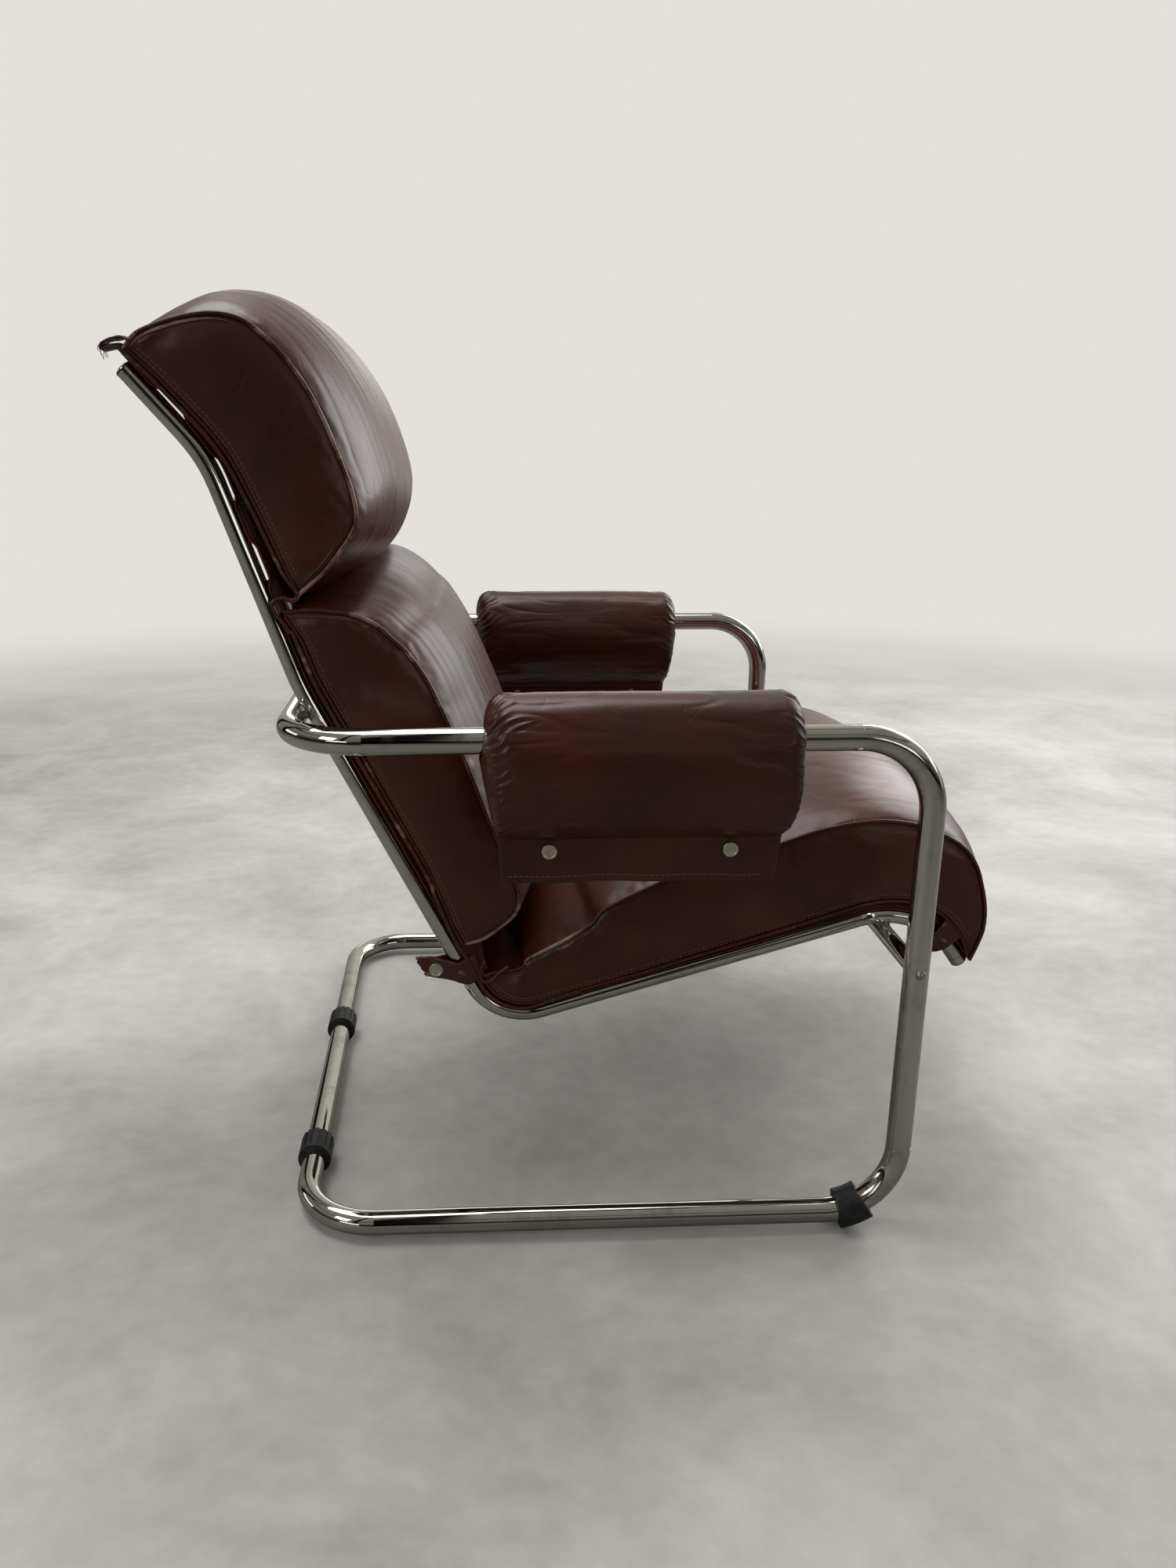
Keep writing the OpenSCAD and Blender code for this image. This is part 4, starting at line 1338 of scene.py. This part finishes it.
@dataclass
class HeadTabs:
    """Two crumpled, frayed leather tabs at the hide's upper edge, turned down behind it."""

    width: float = 29.0
    thickness: float = 2.0
    fold: tuple[Point, ...] = (
        (2, 18.5), (-5, 20), (-11, 21.5), (-16.5, 19), (-20, 13.5), (-23.5, 6.5), (-25, 0.5), (-22.5, -2.5),
        (-19.5, 1.5), (-16.5, 8), (-13, 13), (-8, 15.5),
    )
    crumple: float = 3.8

    def dress(self, finishes: Finishes) -> None:
        """Builds both tabs and the threads that hang from their torn ends."""
        path = smooth_path(self.fold, 40)

        def place(side: Side, u: float, w: float) -> Vector:
            """Place on a tab; u runs from the hide over the fold, w across the tab."""
            p = along(path, u)
            free = smoothstep(0.12, 0.5, u)
            seed = 11.0 * side.value
            push = self.crumple * noise.noise(Vector((u * 4.2, w * 3.1, seed))) * free
            push += 1.3 * noise.noise(Vector((u * 11, w * 8, seed + 5))) * free
            slide = 3.0 * noise.noise(Vector((u * 3, w * 2.5, seed + 9))) * free
            sway = 2.0 * noise.noise(Vector((u * 5, seed, w))) * free
            y = RAIL_Y + (w - 0.5) * self.width * (1 - 0.22 * free) + sway
            return RAIL.point(p.x + slide, p.y + push, side.value * y)

        tabs = [partial(place, side) for side in Side]
        obj = leather_sheets("head_tab_leather", 44, 30, tabs, self.thickness)
        rub(obj, lambda p: 0.2 + noise.noise(p / 9 + Vector((4, 0, 0))))
        finish_piece(obj, finishes.leather, "head_tabs")
        finish_piece(sweep("head_tab_threads", self.threads(), 0.3, 4), finishes.thread)

    def threads(self) -> Paths:
        """Loose threads of unlike lengths, seven at each tab."""
        runs = []
        for side in Side:
            for i in range(7):
                reach = 5 + 2.4 * ((i * 5) % 4)
                start = RAIL.point(
                    -24.5 + 1.2 * (i % 3), -1.0 - 0.6 * (i % 2), side.value * (RAIL_Y + 12 - 4 * i)
                )
                bend = Vector((0.8 * (i % 3 - 1), side.value * (i % 2) * 1.2, -0.55 * reach))
                runs.append([start, start + bend, start + Vector((1.6 * (i % 2), 0, -reach))])
        return runs


@dataclass
class PlugGroovePaintedShade:
    """Painted shade: a fine black ring in the gap where each upper rail plug's lip meets its tube, standing in for
    the gap's shadow.
    """

    s: float = 2.6
    radius: float = 9.05
    groove_r: float = 0.55

    def dress(self, finishes: Finishes) -> None:
        """Lays a fine black ring of painted shade round both rails, in the plug grooves."""
        runs = []
        p, a = RAIL.pose(self.s)
        up, out = Vector((-math.sin(a), 0, math.cos(a))), Vector((0, 1, 0))
        turns = [2 * math.pi * k / 40 for k in range(40)]
        for side in Side:
            middle = Vector((p.x, side.value * RAIL_Y, p.y))
            runs.append([middle + self.radius * (math.cos(t) * up + math.sin(t) * out) for t in turns])
        # Painted shade: these black rings stand in for the shadow in the plug grooves.
        shade_rings = sweep("plug_grooves", runs, self.groove_r, 8, closed=True)
        finish_piece(shade_rings, finishes.enamel, slot="black_paint")


# Studio.


@dataclass
class Studio:
    """Camera at the photograph's viewing angle, pale floor and plain soft light."""

    eye: tuple[float, float, float] = (-122.8, -1424.6, 801.35)
    yaw: float = 2.90
    pitch: float = 16.38
    roll: float = -0.20
    focal: float = 27.594
    shift: float = 0.03875
    backdrop: str = "#e4e0db"
    floor_near: str = "#f1efeb"
    floor_dark: str = "#c3c1bd"
    # Painted shade: the flat darker grey that reflections and bounced light see instead of the floor.
    floor_mirrored: str = "#8a8885"
    room_strength: float = 1.2
    plaster: str = "#e2e0dc"
    floor_drop: float = 0.3

    def camera(self) -> None:
        """Sets the camera where the photograph was taken."""
        yaw, pitch, roll = (math.radians(a) for a in (self.yaw, self.pitch, self.roll))
        ahead = Vector((math.sin(yaw) * math.cos(pitch), math.cos(yaw) * math.cos(pitch), -math.sin(pitch)))
        right = Vector((math.cos(yaw), -math.sin(yaw), 0.0))
        down = ahead.cross(right)
        right, down = (
            math.cos(roll) * right + math.sin(roll) * down,
            math.cos(roll) * down - math.sin(roll) * right,
        )
        lens = bpy.data.cameras.new("viewpoint")
        lens.sensor_fit = "VERTICAL"
        lens.sensor_height = 36
        lens.lens = self.focal
        lens.shift_x = self.shift
        lens.clip_start, lens.clip_end = 0.05, 60
        obj = link_object("viewpoint", lens)
        turn = Matrix((right, -down, -ahead)).transposed().to_4x4()
        obj.matrix_world = Matrix.Translation(Vector(self.eye) * MM) @ turn
        bpy.context.scene.camera = obj

    def world(self) -> None:
        """A pale room: brighter to the chair's front and far side, dimmer behind the camera."""
        world = bpy.data.worlds.new("pale_room")
        bpy.context.scene.world = world
        kit = Recipe(world, "Generated")

        def towards(x: float, y: float) -> Socket:
            """How far a direction points towards X and Y."""
            return kit.add(
                "VectorMath", operation="DOT_PRODUCT", input_0=kit.place, input_1=(x, y, 0.0)
            ).outputs["Value"]

        parts = kit.add("SeparateXYZ", Vector=kit.place).outputs
        walls = kit.ramp(
            kit.span(parts["Z"], -0.2, 1.0),
            (0.0, "#5a5956"), (0.15, "#2a2a29"), (0.18, "#161615"), (0.21, "#454442"), (0.3, "#6f6e6b"),
            (0.345, "#93928f"), (0.36, "#1f1f1e"), (0.385, "#232322"), (0.4, "#b9b8b5"), (0.55, "#cfceca"),
            (0.62, "#dddcd8"), (0.64, "#5b5a58"), (0.67, "#777673"), (0.7, "#d8d7d3"), (1.0, "#efeeea"),
        )
        far_wall = kit.span(towards(0.35, 0.94), 0.15, 0.45, smooth=True)
        walls = kit.mix(far_wall, walls, linear(self.plaster))
        daylight = kit.ramp(
            kit.span(towards(0.66, 0.64), -1.0, 1.0),
            (0.0, "#8c8b88"), (0.2, "#8a8986"), (0.38, "#82817e"), (0.6, "#8a8986"), (0.85, "#cdccc8"),
        )
        turn = kit.math("ARCTAN2", parts["Y"], parts["X"])
        walls = kit.mix(1.0, walls, self._posts(kit, turn), "MULTIPLY")
        shaded = kit.mix(1.0, walls, daylight, "MULTIPLY")
        room = kit.mix(1.0, shaded, self._panes(kit, parts["Z"], turn), "ADD")
        back = kit.add("Background", Color=room, Strength=self.room_strength).outputs[0]
        front = kit.add("Background", Color=linear(self.backdrop), Strength=1.0).outputs[0]
        seen = kit.add("LightPath").outputs["Is Camera Ray"]
        kit.add("OutputWorld", Surface=kit.blend(seen, back, front))

    def _posts(self, kit: Recipe, turn: Socket) -> Socket:
        """Dark upright strips round the walls, such as door frames, which streak upright tubes."""
        wave = kit.math("SINE", kit.math("MULTIPLY_ADD", turn, 3.0, 0.9))
        return kit.ramp(
            wave, (0.0, "#ffffff"), (0.62, "#ffffff"), (0.7, "#3a3a39"), (0.86, "#232322"), (0.92, "#f4f3f0")
        )

    def _panes(self, kit: Recipe, height: Socket, turn: Socket) -> Socket:
        """Bright low window panes round the room, parted by dark bars, which streak the chrome."""
        bars = kit.math("SINE", kit.math("MULTIPLY", turn, 5.0))
        rise = kit.ramp(
            height, (0.1, "#000000"), (0.12, "#ffffff"), (0.25, "#ffffff"), (0.28, "#000000"), (0.42, "#000000")
        )
        return kit.mix(kit.span(bars, 0.35, 0.5, smooth=True), (0.0, 0.0, 0.0, 1.0), rise)

    def lamps(self) -> None:
        """Hangs the soft lamps: one from the front, one from above and a weak fill."""
        aim = Vector((0.0, 0.0, 0.4))
        for name, place, off, size, power in (
            ("window", (2.1, 1.8, 1.6), 0.1, 1.8, 27),
            ("ceiling", (-0.6, 0.5, 3.0), 0.0, 2.2, 44),
            ("fill", (-2.7, -2.3, 2.2), 0.0, 1.2, 12),
        ):
            lamp = bpy.data.lights.new(name, "AREA")
            lamp.shape = "SQUARE"
            lamp.size = size
            lamp.energy = power
            look = (aim + Vector((off, 0.0, 0.0)) - Vector(place)).to_track_quat("-Z", "Y")
            link_object(name, lamp).matrix_world = Matrix.Translation(place) @ look.to_matrix().to_4x4()

    def floor(self) -> None:
        """Lays the floor: trowelled cement screed that fades into the pale backdrop; every ray but the camera's
        sees it as a flat darker grey, which is painted shade.
        """
        bm = bmesh.new()
        bmesh.ops.create_circle(bm, cap_ends=True, segments=96, radius=9000)
        bmesh.ops.translate(bm, vec=(0, 0, -self.floor_drop), verts=bm.verts)
        obj = new_object("floor", bm, smooth=False)
        kit = Recipe(bpy.data.materials.new("trowelled_cement_screed"))
        cloud, speck = (
            kit.add("TexNoise", Vector=kit.place, **settings).outputs["Fac"]
            for settings in (
                {"Scale": 2.6, "Detail": 9.0, "Roughness": 0.62, "Distortion": 0.4},
                {"Scale": 34.0, "Detail": 5.0},
            )
        )
        mixed = kit.math("MULTIPLY_ADD", speck, 0.22, cloud)
        cement = kit.ramp(mixed, (0.42, self.floor_dark), (0.78, self.floor_near))
        far = kit.add("VectorMath", operation="LENGTH", input_0=kit.place).outputs["Value"]
        fade = kit.span(far, 1.6, 4.2, smooth=True)
        seen = kit.add("LightPath").outputs["Is Camera Ray"]
        # Painted shade: rays other than the camera's see a flat darker grey, which darkens the floor in
        # reflections and in its bounce onto the chair.
        screed = kit.shader(Base_Color=kit.mix(seen, linear(self.floor_mirrored), cement), Roughness=0.55)
        glow = kit.add("Emission", Color=linear(self.backdrop), Strength=1.0).outputs["Emission"]
        kit.add("OutputMaterial", Surface=kit.blend(kit.math("MULTIPLY", fade, seen), screed, glow))
        obj.data.materials.append(kit.owner)

    def build(self) -> None:
        """Sets the whole studio up."""
        self.camera()
        self.world()
        self.lamps()
        self.floor()
        bpy.context.scene.view_settings.view_transform = "Standard"


# Assembly.


CUSHIONS = (
    Cushion(
        name="head_cushion_cover", node="head_cushion", seed=42, columns=64,
        hem=((-9, 14), (26, 18), (88, 20), (140, 25), (172, 28), (227, 31), (245, 33)),
        ridges=((0.0, 0.3), (0.84, 1.0)),
        outline=(
            (-7, 13), (-9, 31), (0, 56), (12, 79), (24, 95), (39, 107), (57, 113), (89, 116), (116, 116),
            (150, 116), (178, 116), (201, 111), (214, 100), (225, 84), (236, 66), (243, 49), (249, 33),
        ),
        crowns=((0, 0), (0.07, 16), (0.2, 34), (0.34, 39), (0.5, 43), (0.7, 41), (0.8, 31), (0.9, 16), (1, 0)),
        worn_welt=((0.0, 0.4), (0.2, 0.6), (0.6, 0.6), (0.75, 0.5), (0.85, 0.8), (1.0, 0.85)),
    ),
    Cushion(
        name="back_cushion_cover", node="back_cushion", seed=38, columns=72,
        hem=(
            (261, 12), (280, 17), (294, 19.5), (420, 20), (556, 21), (584, 18.5), (607, 16.5), (621, 14),
            (651, 13),
        ),
        ridges=((0.0, 0.26),),
        outline=(
            (261, 14), (268, 39), (280, 65), (289, 80), (306, 95), (333, 105), (364, 111), (392, 113),
            (429, 111), (473, 108), (514, 103), (537, 100), (580, 96), (618, 92), (634, 86), (643, 75),
            (648, 56), (651, 35), (647, 17),
        ),
        crowns=((0, 0), (0.06, 18), (0.15, 37), (0.25, 41), (0.45, 38), (0.7, 34), (0.83, 29), (0.92, 14), (1, 0)),
        worn_welt=((0.0, 0.2), (0.15, 0.45), (0.25, 0.2), (0.8, 0.25), (0.9, 0.75), (1.0, 0.75)),
        welt_r=2.2,
    ),
    Cushion(
        name="seat_cushion_cover", node="seat_cushion", seed=26, columns=92,
        hem=(
            (690, 14), (770, 15), (900, 14), (1053, 17), (1145, 19), (1180, 20), (1215, 19), (1240, 15),
            (1269, 8),
        ),
        ridges=((0.03, 0.4),),
        drawn_mm=0.35,
        creases=(
            ((120, -92), (245, -130), (272, -150), (303, -170), (334, -182), (371, -170)),
            ((120, -150), (229, -194), (253, -218), (283, -238), (305, -252)),
            ((150, -84), (266, -106), (287, -98), (325, -102), (366, -90), (403, -34)),
            ((262, -230), (300, -218), (338, -186)),
            ((110, 120), (238, 138), (300, 172), (360, 186)),
            ((140, 60), (250, 88), (330, 112), (396, 60)),
            ((130, 190), (226, 214), (290, 244)),
        ),
        outline=(
            (690, 16), (693, 29), (699, 42), (718, 52), (742, 58), (772, 62), (803, 68), (831, 74), (862, 83),
            (880, 95), (952, 108), (1010, 111), (1070, 111), (1106, 113), (1138, 111), (1170, 105),
            (1186, 99), (1201, 92), (1213, 80), (1222, 68), (1240, 47), (1258, 24), (1269, 8),
        ),
        crowns=(
            (0, 0), (0.06, 5), (0.13, 10), (0.25, 18), (0.45, 26), (0.73, 29), (0.8, 28), (0.87, 20),
            (0.93, 9), (1, 2),
        ),
        worn_welt=((0.0, 0.3), (0.2, 0.6), (0.3, 0.2), (1.0, 0.15)),
        welt_r=1.9,
    ),
)


def dress_frame(finishes: Finishes) -> None:
    """Gives every CAD node that stays its finish."""
    plan = (
        (finishes.chrome, ("frame_tube", "side_rail", "front_crossbar", "rail_plug")),
        (finishes.weld, ("weld_fillets",)),
        (finishes.steel, ("floor_bar_spigot", "crossbar_spigot", "crossbar_inserts", "webbing_rivets")),
        (finishes.bolt, ("upright_bolts",)),
        (finishes.enamel, ("webbing_clips",)),
        (finishes.webbing, ("back_webbing", "seat_webbing")),
        (finishes.rubber, ("floor_ring", "front_ring")),
        (finishes.stud, ("strap_studs", "pad_studs")),
    )
    for material, starts in plan:
        for name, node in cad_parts.items():
            if name.startswith(starts):
                node.data.materials.clear()
                node.data.materials.append(material)
                LOG.info("%s: finished as %s", name, material.name)


def main() -> None:
    """Builds the studio and the chair's pieces in order and reports each one."""
    logging.basicConfig(level=logging.INFO, format="%(name)s: %(message)s")
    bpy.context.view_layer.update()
    Studio().build()
    finishes = Finishes()
    dress_frame(finishes)
    pads = [ArmPad(side) for side in Side]
    for part in (*CUSHIONS, *pads, Hide(), EdgePiping(), HeadTabs(), PlugGroovePaintedShade()):
        part.dress(finishes)
    for side in Side:
        LoopStrap(f"crevice_strap_{side.word}", side, s=677, tail=28, lean=0.6, width=27).dress(finishes)
        LoopStrap(f"nose_strap_{side.word}", side, s=1229.6, tail=17).dress(finishes)


if __name__ == "__main__":
    main()
